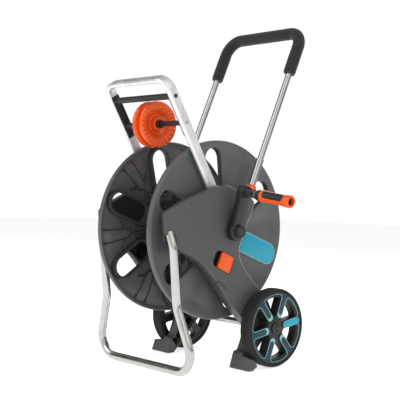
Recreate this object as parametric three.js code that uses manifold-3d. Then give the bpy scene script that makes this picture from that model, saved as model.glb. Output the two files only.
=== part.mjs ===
// Garden hose reel cart on two wheels: drum between side plates, leg stand, hose guide, telescopic handle.
// Millimetres. +X is the crank side, +Y the wheel side, +Z up. The parts are laid out with the drum axis at
// Y = 0; the whole cart is then moved so that the origin is the middle of the footprint of its box.
import * as THREE from 'three';
import { mergeVertices } from 'three/addons/utils/BufferGeometryUtils.js';
import Module from 'manifold-3d';

const wasm = await Module();
wasm.setup();

// ---- driving dimensions ----------------------------------------------------------------------------------
const GAP = 0.3;                       // clearance between fixed neighbours
const RUNNING_GAP = 0.4;               // clearance between turning or sliding neighbours
const drum = {
  z: 355, radius: 230, halfWidth: 107, rimWidth: 14, rimDepth: 9,
  webX: 99.5, webThick: 4, hubRadius: 22, hubEnd: 80,
};
const core = { radius: 70, wall: 3 };
const slots = { count: 6, phase: -22, inner: 88, outer: 214, width: 48 };
const plate = { inner: 124, outer: 155, skin: 3.5, slopeStart: -60, slope: 0.122, guideInner: 111.2 };
const wheel = { y: 132, z: 103, radius: 102.5, inner: 159.5, outer: 193.5, rim: 92, spokes: 6, phase: 10 };
const axle = { radius: 9.5, pin: 6, shoulder: 157, end: 190.5 };
const stand = { x: 142, radius: 11, wall: 1.4, y: -146.6, lean: -0.09, wide: 175, top: 372 };
const guide = { x: 118.4, y: 24.6, tilt: 31.1, width: 30, thick: 13, wall: 1.6, start: 60, top: 431, bend: 30 };
const guideRod = { at: 311, radius: 6.5 };
const guideBar = { at: 384, radius: 8 };
const guideFixing = { screw: 5, screwHeight: 2, pin: 3.5, pinHeight: 3.5 };
const insert = { from: 278, to: 398, depth: 8, width: 25 };
const roller = { radius: 59, width: 46, bush: 10.5, bushOverhang: 4, groove: 21, dish: 7 };
const handle = { x: 141.3, y: 27.3, tilt: 23.5, tube: 8, wall: 1.2, top: 586, bottom: 143, bend: 45 };
const sleeve = { radius: 9.8, bore: 8.4, from: -50, to: 203 };
const collar = { radius: 15, from: 103, to: 127 };
const foam = { radius: 17, from: 458 };
const lock = { y: -20, z: 275, length: 43, height: 42, recess: 17, floor: 145.5, back: 147.3, front: 156.6 };
const crank = { lean: 7, baseX: 174, length: 100, pivot: 33, hubRadius: 24, hubEnd: 185, width: 26, thick: 18 };
const grip = { collar: 56, from: 70, to: 168, radius: 15.5 };
const shaft = { radius: 8.5, bush: 14, from: 72, to: 183 };
const journal = { radius: 11, bore: 7.5, inner: -84, outer: -166 };

const colours = {
  grey: [0x555658, 0.62, 0.0], drumGrey: [0x626365, 0.6, 0.0], black: [0x262728, 0.6, 0.0],
  orange: [0xe2521d, 0.5, 0.0], turquoise: [0x3fb0c4, 0.5, 0.0], aluminium: [0xc9cbcc, 0.35, 0.9],
  chrome: [0xd8d8d4, 0.18, 1.0], steel: [0x9a9c9e, 0.3, 0.9], foam: [0x2b2c2d, 0.95, 0.0],
  rubber: [0x1e1f20, 0.85, 0.0],
};

// ---- solids ----------------------------------------------------------------------------------------------
const cart = new THREE.Group();
const degrees = THREE.MathUtils.degToRad;
const alongX = new THREE.Matrix4().makeBasis(
  new THREE.Vector3(0, 1, 0), new THREE.Vector3(0, 0, 1), new THREE.Vector3(1, 0, 0));

// A three.js geometry as a closed solid with its faces pointing out.
function solidOf(geometry) {
  const bare = geometry.clone();
  bare.deleteAttribute('normal');
  bare.deleteAttribute('uv');
  const merged = mergeVertices(bare, 1e-4);
  const index = merged.index.array;
  const triangles = [];
  for (let i = 0; i < index.length; i += 3) {
    const [a, b, c] = [index[i], index[i + 1], index[i + 2]];
    if (a !== b && b !== c && c !== a) triangles.push(a, b, c);
  }
  const build = (list) => new wasm.Manifold(new wasm.Mesh({
    numProp: 3,
    vertProperties: new Float32Array(merged.attributes.position.array),
    triVerts: new Uint32Array(list),
  }));
  const solid = build(triangles);
  if (solid.volume() > 0) return solid;
  for (let i = 0; i < triangles.length; i += 3) {
    [triangles[i + 1], triangles[i + 2]] = [triangles[i + 2], triangles[i + 1]];
  }
  return build(triangles);
}

function geometryOf(solid) {
  const mesh = solid.getMesh();
  const geometry = new THREE.BufferGeometry();
  const points = new Float32Array(mesh.numVert * 3);
  for (let i = 0; i < mesh.numVert; i += 1) {
    for (let k = 0; k < 3; k += 1) points[3 * i + k] = mesh.vertProperties[i * mesh.numProp + k];
  }
  geometry.setAttribute('position', new THREE.BufferAttribute(points, 3));
  geometry.setIndex(new THREE.BufferAttribute(new Uint32Array(mesh.triVerts), 1));
  geometry.computeVertexNormals();
  return geometry;
}

const join = (first, ...others) => others.reduce((sum, next) => sum.add(next), first);
const cut = (first, ...others) => others.reduce((rest, next) => rest.subtract(next), first);

function add(name, solid, colour, mirrored = false) {
  const geometry = geometryOf(solid);
  const [hex, roughness, metalness] = colours[colour];
  if (mirrored) {
    geometry.scale(-1, 1, 1);
    const index = geometry.index.array;
    for (let i = 0; i < index.length; i += 3) [index[i + 1], index[i + 2]] = [index[i + 2], index[i + 1]];
    geometry.computeVertexNormals();
  }
  const mesh = new THREE.Mesh(geometry, new THREE.MeshStandardMaterial({ color: hex, roughness, metalness }));
  mesh.name = name;
  cart.add(mesh);
}

function addPair(name, solid, colour) {
  add(`${name}_right`, solid, colour);
  add(`${name}_left`, solid, colour, true);
}

// ---- shapes ----------------------------------------------------------------------------------------------
// A closed outline from corners [a, b, radius].
function outline(corners) {
  const shape = new THREE.Shape();
  const count = corners.length;
  corners.forEach(([a, b, radius = 0], i) => {
    const here = new THREE.Vector2(a, b);
    const before = new THREE.Vector2(...corners[(i + count - 1) % count]);
    const after = new THREE.Vector2(...corners[(i + 1) % count]);
    const toBefore = before.clone().sub(here);
    const toAfter = after.clone().sub(here);
    const reach = Math.min(radius, toBefore.length() * 0.45, toAfter.length() * 0.45);
    const enter = here.clone().addScaledVector(toBefore.normalize(), reach);
    const leave = here.clone().addScaledVector(toAfter.normalize(), reach);
    if (i === 0) shape.moveTo(enter.x, enter.y);
    else shape.lineTo(enter.x, enter.y);
    if (reach > 0) shape.quadraticCurveTo(here.x, here.y, leave.x, leave.y);
  });
  shape.closePath();
  return shape;
}

// The same corners moved inwards (corners run clockwise seen with a to the right and b up).
function inset(corners, distance) {
  const count = corners.length;
  const edges = corners.map(([a, b], i) => {
    const [c, d] = corners[(i + 1) % count];
    const length = Math.hypot(c - a, d - b);
    const normal = [(d - b) / length, -(c - a) / length];
    return { point: [a + normal[0] * distance, b + normal[1] * distance], direction: [c - a, d - b] };
  });
  return corners.map(([, , radius], i) => {
    const one = edges[(i + count - 1) % count];
    const two = edges[i];
    const cross = one.direction[0] * two.direction[1] - one.direction[1] * two.direction[0];
    const offset = [two.point[0] - one.point[0], two.point[1] - one.point[1]];
    const t = (offset[0] * two.direction[1] - offset[1] * two.direction[0]) / cross;
    return [one.point[0] + one.direction[0] * t, one.point[1] + one.direction[1] * t, radius];
  });
}

// A Y-Z outline made solid between two X positions, lifted by z.
function slab(shape, x0, x1, z = 0) {
  const geometry = new THREE.ExtrudeGeometry(shape, { depth: x1 - x0, bevelEnabled: false, curveSegments: 2 });
  geometry.applyMatrix4(alongX);
  geometry.translate(x0, 0, z);
  return solidOf(geometry);
}

function box(x0, x1, y0, y1, z0, z1) {
  const geometry = new THREE.BoxGeometry(x1 - x0, y1 - y0, z1 - z0);
  geometry.translate((x0 + x1) / 2, (y0 + y1) / 2, (z0 + z1) / 2);
  return solidOf(geometry);
}

// A body of revolution about a line along X through (y, z); profile points are [radius, x].
function turned(profile, y, z, segments = 24) {
  const points = profile.map(([radius, x]) => new THREE.Vector2(radius, x));
  const geometry = new THREE.LatheGeometry(points, segments);
  geometry.rotateZ(-Math.PI / 2);
  geometry.translate(0, y, z);
  return solidOf(geometry);
}

const disc = (radius, x0, x1, y, z, segments = 24) => turned(
  [[0, x0], [radius, x0], [radius, x1], [0, x1]], y, z, segments);
const ring = (inner, outer, x0, x1, y, z, segments = 24) => turned(
  [[inner, x0], [outer, x0], [outer, x1], [inner, x1], [inner, x0]], y, z, segments);

// Straight runs joined by round bends of so many steps to the quarter turn.
class BentPath extends THREE.Curve {
  constructor(corners, bends, steps = 5) {
    super();
    this.stations = [];
    corners.forEach((corner, i) => {
      if (i === 0 || i === corners.length - 1) {
        const [from, to] = i === 0 ? [corner, corners[1]] : [corners[i - 1], corner];
        this.stations.push([corner, to.clone().sub(from).normalize()]);
        return;
      }
      const arriving = corner.clone().sub(corners[i - 1]).normalize();
      const leaving = corners[i + 1].clone().sub(corner).normalize();
      const turn = arriving.angleTo(leaving);
      const reach = bends[i - 1] * Math.tan(turn / 2);
      const start = corner.clone().addScaledVector(arriving, -reach);
      const side = leaving.clone().addScaledVector(arriving, -leaving.dot(arriving)).normalize();
      const count = Math.max(1, Math.round((2 * steps * turn) / Math.PI));
      for (let k = 0; k <= count; k += 1) {
        const angle = (turn * k) / count;
        const point = start.clone()
          .addScaledVector(arriving, bends[i - 1] * Math.sin(angle))
          .addScaledVector(side, bends[i - 1] * (1 - Math.cos(angle)));
        const tangent = arriving.clone().multiplyScalar(Math.cos(angle)).addScaledVector(side, Math.sin(angle));
        this.stations.push([point, tangent]);
      }
    });
  }

  get spans() { return this.stations.length - 1; }

  getPointAt(u, target = new THREE.Vector3()) {
    return target.copy(this.stations[Math.round(u * this.spans)][0]);
  }

  getPoint(u, target) { return this.getPointAt(u, target); }

  getTangentAt(u, target = new THREE.Vector3()) {
    return target.copy(this.stations[Math.round(u * this.spans)][1]);
  }

  getTangent(u, target) { return this.getTangentAt(u, target); }
}

function circlePoints(radius, sides) {
  const points = [];
  for (let i = 0; i < sides; i += 1) {
    const angle = (2 * Math.PI * i) / sides;
    points.push(new THREE.Vector2(radius * Math.cos(angle), radius * Math.sin(angle)));
  }
  return points;
}

function roundSection(radius, bore = 0, sides = 14) {
  const shape = new THREE.Shape(circlePoints(radius, sides));
  if (bore > 0) shape.holes.push(new THREE.Path(circlePoints(bore, sides)));
  return shape;
}

// A flat oval: width across the plane of the bend, thick within it.
function ovalSection(width, thick, wall) {
  const points = (w, t) => {
    const list = [];
    for (const [sign, from] of [[1, -90], [-1, 90]]) {
      for (let i = 0; i <= 4; i += 1) {
        const angle = degrees(from + 45 * i);
        const middle = sign * (w / 2 - t / 2);
        list.push(new THREE.Vector2(middle + (t / 2) * Math.cos(angle), (t / 2) * Math.sin(angle)));
      }
    }
    return list;
  };
  const shape = new THREE.Shape(points(width, thick));
  if (wall > 0) shape.holes.push(new THREE.Path(points(width - 2 * wall, thick - 2 * wall)));
  return shape;
}

function swept(section, path) {
  const options = { steps: path.spans, extrudePath: path, bevelEnabled: false };
  return solidOf(new THREE.ExtrudeGeometry(section, options));
}

// A straight solid of a section between two points.
const rod = (section, from, to) => swept(section, new BentPath([from, to], []));

// ---- tilted planes of the handle and the hose guide ------------------------------------------------------
const leaning = (frame, sign) => (x, s, out = 0) => new THREE.Vector3(
  x,
  frame.y + sign * Math.sin(degrees(frame.tilt)) * s + Math.cos(degrees(frame.tilt)) * out,
  drum.z + Math.cos(degrees(frame.tilt)) * s - sign * Math.sin(degrees(frame.tilt)) * out);
const onHandle = leaning(handle, 1);
const onGuide = leaning(guide, -1);

// Moves a solid built upright about X = 0, Z = 0 into the tilted plane of the handle or guide.
function intoPlane(geometry, frame, sign) {
  geometry.rotateX(-sign * degrees(frame.tilt));
  geometry.translate(0, frame.y, drum.z);
  return solidOf(geometry);
}

// A U of tube standing in the plane Y = 0, legs down to `bottom`, crown at `top`.
function uPath(x, bottom, top, bend, steps) {
  return new BentPath([
    new THREE.Vector3(x, 0, bottom), new THREE.Vector3(x, 0, top),
    new THREE.Vector3(-x, 0, top), new THREE.Vector3(-x, 0, bottom),
  ], [bend, bend], steps);
}

const uTube = (section, x, bottom, top, bend, steps) => {
  const path = uPath(x, bottom, top, bend, steps);
  return new THREE.ExtrudeGeometry(section, { steps: path.spans, extrudePath: path, bevelEnabled: false });
};

// ---- leg stand -------------------------------------------------------------------------------------------
const standY = (z) => stand.y + stand.lean * z;
const standPoint = (x, z) => new THREE.Vector3(x, standY(z), z);
const standPath = new BentPath([
  standPoint(stand.x - 11, stand.top), standPoint(stand.x, 336), standPoint(stand.x, 172),
  standPoint(stand.wide, 82), standPoint(138, stand.radius),
  standPoint(-138, stand.radius), standPoint(-stand.wide, 82), standPoint(-stand.x, 172),
  standPoint(-stand.x, 336), standPoint(-stand.x + 11, stand.top),
], [60, 60, 45, 32, 32, 45, 60, 60], 5);

function legStand() {
  add('leg_stand', swept(roundSection(stand.radius, stand.radius - stand.wall, 10), standPath), 'chrome');
}

// ---- side plates -----------------------------------------------------------------------------------------
const plateCorners = [
  [-218, 399, 9], [-150, 431, 60], [-60, 465, 50], [-20, 471, 40], [28, 454, 30], [60, 446, 14], [80, 427, 7],
  [52, 366, 60], [23, 302, 34], [46, 257, 26], [150, 160, 26], [152, 100, 18], [143, 89, 10], [54, 0, 3],
  [31, 0, 4], [44, 42, 4], [58, 45, 6], [79, 101, 14], [2, 167, 40], [-69, 249, 26], [-88, 269, 26],
  [-108, 285, 36], [-198, 330, 12],
];
const footCorners = [[31, 0, 4], [42, 37, 4], [50, 33, 3], [66, 13, 3], [48, 0, 3]];

// Everything inwards of the outer face, which slopes in towards the front tip.
function behindOuterFace(offset) {
  const x = plate.outer - offset;
  const tip = x - plate.slope * (plate.slopeStart + 260);
  const shape = new THREE.Shape([
    new THREE.Vector2(100, -260), new THREE.Vector2(tip, -260), new THREE.Vector2(x, plate.slopeStart),
    new THREE.Vector2(x, 200), new THREE.Vector2(100, 200),
  ]);
  return solidOf(new THREE.ExtrudeGeometry(shape, { depth: 520, bevelEnabled: false }).translate(0, 0, -5));
}

// A block around the handle line or guide line, from s0 to s1, X0 to X1, so wide.
function tiltedBlock(frame, sign, s0, s1, x0, x1, width) {
  const geometry = new THREE.BoxGeometry(x1 - x0, width, s1 - s0);
  geometry.translate((x0 + x1) / 2, 0, (s0 + s1) / 2);
  return intoPlane(geometry, frame, sign);
}

// An outline around the lock's centre, squared to the handle line: a runs to the rear, b up along the handle.
function lockSlab(corners, x0, x1) {
  const geometry = new THREE.ExtrudeGeometry(
    outline(corners), { depth: x1 - x0, bevelEnabled: false, curveSegments: 4 });
  geometry.applyMatrix4(alongX);
  geometry.rotateX(degrees(-handle.tilt));
  geometry.translate(x0, lock.y, lock.z);
  return solidOf(geometry);
}

// The lock's pocket, whose round front end is the finger recess; `grow` widens it.
function lockPocket(x0, x1, grow) {
  const half = lock.height / 2 + 0.5 + grow;
  const front = -(lock.length / 2 + lock.recess + grow);
  const back = lock.length / 2 + 3 + grow;
  return lockSlab([[front, -half, half], [front, half, half], [back, half, 3], [back, -half, 3]], x0, x1);
}

function sidePlates() {
  const outer = slab(outline(plateCorners), plate.inner, plate.outer).intersect(behindOuterFace(0));
  const hollow = slab(outline(inset(plateCorners, plate.skin)), plate.inner - 1, plate.outer)
    .intersect(behindOuterFace(plate.skin));
  const backing = plate.outer - plate.skin + 1;
  const saddles = [[-56, -34], [72, 96]].map(
    ([s0, s1]) => tiltedBlock(handle, 1, s0, s1, plate.inner + 2, backing, 27));
  const legSocket = box(plate.inner + 1, plate.outer, standY(350) - 19, standY(350) + 19, 316, 388)
    .intersect(slab(outline(plateCorners), plate.inner, plate.outer))
    .intersect(behindOuterFace(0.5));
  const guideSocket = tiltedBlock(guide, -1, guide.start - 8, 122, plate.guideInner, backing, 42)
    .intersect(slab(outline(plateCorners), plate.guideInner, plate.outer));
  const lockBed = lockPocket(lock.floor - 3, backing, 3);
  const foot = slab(outline(footCorners), plate.inner + 1, wheel.outer + 0.5);
  const ribs = [[-150, 318, 34], [-105, 300, 40], [96, 120, -38], [70, 62, -30]].map(([y, z, angle]) => {
    const rib = new THREE.BoxGeometry(backing - plate.inner - 2, 150, 2.6);
    rib.rotateX(degrees(angle));
    rib.translate((backing + plate.inner + 2) / 2, y, z);
    return solidOf(rib).intersect(slab(outline(plateCorners), plate.inner, plate.outer));
  });
  const solid = join(
    cut(outer, hollow), ...saddles, legSocket, guideSocket, lockBed, foot, ...ribs,
    disc(shaft.bush + 8, plate.inner - 10, backing, 0, drum.z, 18),
    disc(axle.radius + 8, plate.inner, backing, wheel.y, wheel.z, 18));
  const sleeveHole = rod(roundSection(sleeve.radius + GAP), onHandle(handle.x, -52), onHandle(handle.x, 140));
  const guideHole = tiltedBlock(guide, -1, guide.start - 1, 140, plate.guideInner - 4,
    guide.x + guide.thick / 2 + GAP, guide.width + 2 * GAP);
  return cut(
    solid, sleeveHole, guideHole,
    swept(roundSection(stand.radius + 2 * GAP, 0, 10), standPath),
    lockPocket(lock.floor, plate.outer + 5, 0),
    disc(shaft.bush + GAP, 100, 170, 0, drum.z, 16),
    disc(axle.radius + GAP, 100, 170, wheel.y, wheel.z, 16));
}

// ---- hose guide ------------------------------------------------------------------------------------------
function hoseGuide() {
  const section = ovalSection(guide.width, guide.thick, guide.wall);
  add('guide_frame',
    intoPlane(uTube(section, guide.x, guide.start, guide.top, guide.bend, 4), guide, -1), 'aluminium');
  const face = guide.x - guide.thick / 2 - GAP;
  addPair('guide_insert',
    tiltedBlock(guide, -1, insert.from, insert.to, face - insert.depth, face, insert.width), 'black');
  const reach = face - insert.depth - GAP;
  const bar = onGuide(0, guideBar.at);
  add('guide_crossbar', disc(guideBar.radius, -reach, reach, bar.y, bar.z, 16), 'black');
  const line = onGuide(0, guideRod.at);
  add('guide_rod', disc(guideRod.radius, -reach, reach, line.y, line.z, 16), 'black');
  const outside = guide.x + guide.thick / 2 + GAP;
  const { screw, screwHeight, pin, pinHeight } = guideFixing;
  addPair('crossbar_screw', disc(screw, outside, outside + screwHeight, bar.y, bar.z, 10), 'black');
  addPair('guide_rod_pin', disc(pin, outside, outside + pinHeight, line.y, line.z, 10), 'steel');
  const half = roller.width / 2;
  const bushEnd = half + roller.bushOverhang;
  add('roller_bush',
    ring(guideRod.radius + RUNNING_GAP, roller.bush, -bushEnd, bushEnd, line.y, line.z, 16), 'black');
  const bore = roller.bush + RUNNING_GAP;
  add('guide_roller', turned([
    [bore, -half + 5], [bore + 6, -half + 5], [bore + 10, -half + 10],
    [roller.radius - 16, -half + roller.dish], [roller.radius - 2, -half], [roller.radius, -half + 3],
    [roller.radius - roller.groove, 0],
    [roller.radius, half - 3], [roller.radius - 2, half], [roller.radius - 16, half - roller.dish],
    [bore + 10, half - 10], [bore + 6, half - 5], [bore, half - 5], [bore, -half + 5],
  ], line.y, line.z, 20), 'orange');
}

// ---- telescopic handle -----------------------------------------------------------------------------------
function telescopicHandle() {
  addPair('handle_sleeve', rod(roundSection(sleeve.radius, sleeve.bore, 16),
    onHandle(handle.x, sleeve.from), onHandle(handle.x, sleeve.to)), 'chrome');
  addPair('sleeve_collar', rod(roundSection(collar.radius, sleeve.radius + GAP, 16),
    onHandle(handle.x, collar.from), onHandle(handle.x, collar.to)), 'orange');
  add('handle_tube', intoPlane(uTube(roundSection(handle.tube, handle.tube - handle.wall, 10),
    handle.x, handle.bottom, handle.top, handle.bend, 4), handle, 1), 'chrome');
  add('handle_foam', intoPlane(uTube(roundSection(foam.radius, handle.tube + GAP, 10),
    handle.x, foam.from, handle.top, handle.bend, 4), handle, 1), 'foam');
  addPair('handle_glide', rod(roundSection(handle.tube - 0.2, 0, 12),
    onHandle(handle.x, handle.bottom - 12), onHandle(handle.x, handle.bottom - GAP)), 'black');
  const [long, high] = [lock.length / 2, lock.height / 2];
  addPair('handle_lock', lockSlab(
    [[-long, -high, 2], [-long, high, 2], [long, high, 2], [long, -high, 2]], lock.back, lock.front), 'orange');
}

// ---- drum ------------------------------------------------------------------------------------------------
// A round-ended slot along the first axis.
function slotShape(width, inner, outer) {
  const half = width / 2;
  const shape = new THREE.Shape();
  shape.moveTo(inner + half, -half);
  shape.lineTo(outer - half, -half);
  shape.absarc(outer - half, 0, half, -Math.PI / 2, Math.PI / 2, false);
  shape.lineTo(inner + half, half);
  shape.absarc(inner + half, 0, half, Math.PI / 2, (3 * Math.PI) / 2, false);
  return shape;
}

// That slot turned to `angle` degrees about the line (y, z), solid between two X positions.
function radialSlot(angle, x0, x1, shape, y, z) {
  const geometry = new THREE.ExtrudeGeometry(shape, { depth: x1 - x0, bevelEnabled: false, curveSegments: 4 });
  geometry.rotateZ(degrees(angle));
  geometry.applyMatrix4(alongX);
  geometry.translate(x0, y, z);
  return solidOf(geometry);
}

// Slotted web with a rounded rim and a hub tube towards the core.
function flange(bore) {
  const face = drum.webX + drum.webThick;
  const back = drum.halfWidth - drum.rimWidth;
  const { radius, rimDepth } = drum;
  const web = new THREE.Shape(circlePoints(radius - rimDepth + 1, 40));
  web.holes.push(new THREE.Path(circlePoints(bore, 16)));
  for (let i = 0; i < slots.count; i += 1) {
    const angle = degrees(slots.phase + (360 / slots.count) * i);
    const points = slotShape(slots.width, slots.inner, slots.outer).getPoints(4);
    web.holes.push(new THREE.Path(points.map((point) => point.rotateAround(new THREE.Vector2(), angle))));
  }
  const plateOfWeb = slab(web, drum.webX, face, drum.z);
  const rim = ring(radius - rimDepth, radius, back, drum.halfWidth, 0, drum.z, 40);
  return join(plateOfWeb, rim, ring(bore, drum.hubRadius, drum.hubEnd, drum.webX + 1, 0, drum.z, 16));
}

const tieRod = { circle: 56, radius: 3, count: 3 };
const outletX = -40;                   // where the water outlet turns down inside the core

function hoseDrum() {
  add('flange_right', flange(shaft.radius + GAP), 'drumGrey');
  add('flange_left', flange(journal.radius + GAP), 'drumGrey', true);
  const end = drum.webX - GAP;
  const barrel = ring(core.radius - core.wall, core.radius, -end, end, 0, drum.z, 32);
  const outletHole = rod(roundSection(12),
    new THREE.Vector3(outletX, 0, drum.z - 40), new THREE.Vector3(outletX, 0, drum.z - 90));
  add('drum_core', cut(barrel, outletHole), 'black');
  add('flange_panel', radialSlot(slots.phase, drum.webX + 0.5, drum.halfWidth - 1,
    slotShape(slots.width - 3 * GAP, slots.inner + 2 * GAP, slots.outer - 2 * GAP), 0, drum.z), 'turquoise');
  for (let i = 0; i < tieRod.count; i += 1) {
    const angle = degrees(slots.phase + 30 + (360 / tieRod.count) * i);
    const [y, z] = [tieRod.circle * Math.cos(angle), drum.z + tieRod.circle * Math.sin(angle)];
    add(`tie_rod_${i + 1}`, disc(tieRod.radius, -end + GAP, end - GAP, y, z, 8), 'steel');
  }
}

function waterPath() {
  add('inlet_journal',
    ring(journal.bore, journal.radius, journal.outer, journal.inner, 0, drum.z, 20), 'black');
  const centre = new THREE.Vector3(outletX, 0, drum.z);
  const outlet = swept(roundSection(10, 6, 10), new BentPath([
    new THREE.Vector3(journal.inner + GAP, 0, drum.z), centre, new THREE.Vector3(outletX, 0, drum.z - 98),
  ], [20], 4));
  add('outlet_elbow', outlet, 'black');
  add('outlet_nut', rod(roundSection(15, 11, 10),
    new THREE.Vector3(outletX, 0, drum.z - 72.5), new THREE.Vector3(outletX, 0, drum.z - 90)), 'orange');
  // the tap branch leans forwards and down from the inlet's middle
  const branch = (reach) => new THREE.Vector3(-169, -reach, drum.z - reach);
  const body = cut(
    join(disc(17, -180, -157.5, 0, drum.z, 20), rod(roundSection(9, 0, 12), branch(0), branch(38))),
    disc(journal.radius + GAP, -167, -150, 0, drum.z, 20),
    disc(journal.bore, -174, -160, 0, drum.z, 16),
    rod(roundSection(6, 0, 12), branch(0), branch(45)));
  add('inlet_elbow', body, 'black');
  add('inlet_collar', rod(roundSection(12.5, 9 + GAP, 12), branch(21), branch(31)), 'orange');
  addPair('drum_bush',
    ring(shaft.radius + 4, shaft.bush, plate.inner - 9, plate.outer - 1, 0, drum.z, 20), 'black');
}

// ---- crank -----------------------------------------------------------------------------------------------
// The crank's own frame: h up the arm from the drum axis, s square to it and outwards.
const crankPoint = (s, h, y = 0) => new THREE.Vector3(
  crank.baseX + Math.sin(degrees(crank.lean)) * h + Math.cos(degrees(crank.lean)) * s, y,
  drum.z + Math.cos(degrees(crank.lean)) * h - Math.sin(degrees(crank.lean)) * s);

function crankBlock(s0, s1, y0, y1, h0, h1) {
  const geometry = new THREE.BoxGeometry(s1 - s0, y1 - y0, h1 - h0);
  geometry.translate((s0 + s1) / 2, (y0 + y1) / 2, (h0 + h1) / 2);
  geometry.rotateY(degrees(crank.lean));
  geometry.translate(crank.baseX, 0, drum.z);
  return solidOf(geometry);
}

const gripRing = (inner, outer, s0, s1, sides = 16) => rod(
  roundSection(outer, inner, sides), crankPoint(s0, crank.length), crankPoint(s1, crank.length));

function crankHandle() {
  const { width, thick, hubRadius, pivot, length } = crank;
  add('crank_shaft', disc(shaft.radius, shaft.from, shaft.to, 0, drum.z, 16), 'steel');
  const acrossY = (radius, half, s) => rod(roundSection(radius, 0, 14), crankPoint(s, length, -half),
    crankPoint(s, length, half));
  const hub = disc(hubRadius, plate.outer + 2, crank.hubEnd, 0, drum.z, 28);
  const arm = crankBlock(-thick / 2, thick / 2, -width / 2, width / 2, 0, length + 12);
  const ears = join(
    crankBlock(0, pivot, -width / 2, width / 2, length - 10, length + 10), acrossY(10, width / 2, pivot));
  const mouth = crankBlock(pivot - 11.5, pivot + 14, -7, 7, length - 14, length + 14);
  add('crank_arm', cut(join(hub, arm, ears), mouth, acrossY(3.3, width, pivot),
    disc(shaft.radius + GAP, 140, shaft.to + 1, 0, drum.z, 16)), 'black');
  add('crank_cap', disc(15, crank.hubEnd + GAP, crank.hubEnd + 3.3, 0, drum.z, 20), 'steel');
  add('pivot_pin', acrossY(3, width / 2 - 0.2, pivot), 'steel');
  const neck = join(
    crankBlock(pivot, grip.collar - 4, -6.6, 6.6, length - 9, length + 9),
    acrossY(9, 6.6, pivot),
    gripRing(0, 11, grip.collar - 11, grip.collar, 14));
  add('grip_neck', cut(neck, acrossY(3.3, width, pivot),
    gripRing(0, 4 + GAP, grip.collar - 10, grip.collar + 2, 12)), 'drumGrey');
  add('grip_spindle', gripRing(0, 4, grip.collar - 9.5, grip.to - 14, 12), 'steel');
  add('grip_collar', gripRing(4 + GAP, 14, grip.collar + GAP, grip.from - GAP), 'black');
  const shell = cut(gripRing(0, grip.radius, grip.from, grip.to, 20),
    gripRing(0, 4.6, grip.from - 1, grip.to + 1, 12), gripRing(0, 9.5, grip.to - 12, grip.to + 1, 12));
  const pocket = (grow) => crankBlock(grip.from + 12 - grow, grip.to - 20 + grow, -9 - grow, 9 + grow,
    length + 9 - grow, length + 20);
  add('grip_shell', cut(shell, pocket(0)), 'orange');
  add('grip_inlay', gripRing(0, grip.radius, grip.from, grip.to, 20).intersect(pocket(-GAP)), 'black');
}

// ---- wheels ----------------------------------------------------------------------------------------------
const spokeHalf = 10.5;
const hubReach = 30;

function wheelDisc() {
  const { y, z, rim, inner, outer } = wheel;
  const blank = turned([
    [axle.pin + GAP, inner + 4], [17, inner + 4], [17, outer - 16], [rim - 10, outer - 16],
    [rim - 8, inner + 3], [rim, inner + 3], [rim, outer - 3], [17, outer - 5], [17, outer - 8],
    [axle.pin + GAP, outer - 8], [axle.pin + GAP, inner + 4],
  ], y, z, 30);
  const windows = [];
  for (let i = 0; i < wheel.spokes; i += 1) {
    const middle = wheel.phase + (360 / wheel.spokes) * (i + 0.5);
    const half = 180 / wheel.spokes;
    const reach = rim - 12;
    const shape = new THREE.Shape();
    const edge = (radius) => degrees(half) - Math.asin(spokeHalf / radius);
    shape.absarc(0, 0, reach, -edge(reach), edge(reach), false);
    shape.lineTo(hubReach * Math.cos(edge(hubReach)), hubReach * Math.sin(edge(hubReach)));
    shape.lineTo(hubReach * Math.cos(edge(hubReach)), -hubReach * Math.sin(edge(hubReach)));
    const geometry = new THREE.ExtrudeGeometry(shape, { depth: 60, bevelEnabled: false, curveSegments: 3 });
    geometry.rotateZ(degrees(middle));
    geometry.applyMatrix4(alongX);
    geometry.translate(inner - 10, y, z);
    windows.push(solidOf(geometry));
  }
  return cut(blank, ...windows);
}

function wheels() {
  const { y, z, radius, rim, inner, outer } = wheel;
  addPair('tyre', turned([
    [rim + GAP, inner], [radius - 4, inner], [radius, inner + 5], [radius, outer - 5], [radius - 4, outer],
    [rim + GAP, outer], [rim + GAP, inner],
  ], y, z, 30), 'rubber');
  addPair('wheel_disc', wheelDisc(), 'black');
  addPair('wheel_panel', radialSlot(wheel.phase, outer - 2.6, outer - 1,
    slotShape(2 * spokeHalf - 4, hubReach, rim - 4), y, z), 'turquoise');
  addPair('axle_clip', ring(axle.pin + GAP, 10, outer - 7.7, outer - 6.5, y, z, 16), 'steel');
  addPair('hub_cap', disc(16, outer - 2.6, outer, y, z, 24), 'black');
  const { radius: thick, pin, shoulder, end } = axle;
  add('wheel_axle', turned([
    [0, -end], [pin, -end], [pin, -shoulder], [thick, -shoulder],
    [thick, shoulder], [pin, shoulder], [pin, end], [0, end],
  ], y, z, 20), 'chrome');
}

// ---- the cart --------------------------------------------------------------------------------------------
addPair('side_plate', sidePlates(), 'grey');
legStand();
hoseGuide();
telescopicHandle();
hoseDrum();
waterPath();
crankHandle();
wheels();

const bounds = new THREE.Box3().setFromObject(cart);
const middle = bounds.getCenter(new THREE.Vector3());
cart.position.set(-middle.x, -middle.y, -bounds.min.z);
cart.updateMatrixWorld(true);

export default cart;
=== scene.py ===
from math import asin, atan2, cos, degrees, exp, hypot, radians, sin, tan

import bmesh
import bpy
from mathutils import Matrix, Vector
from mathutils.geometry import tessellate_polygon


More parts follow.
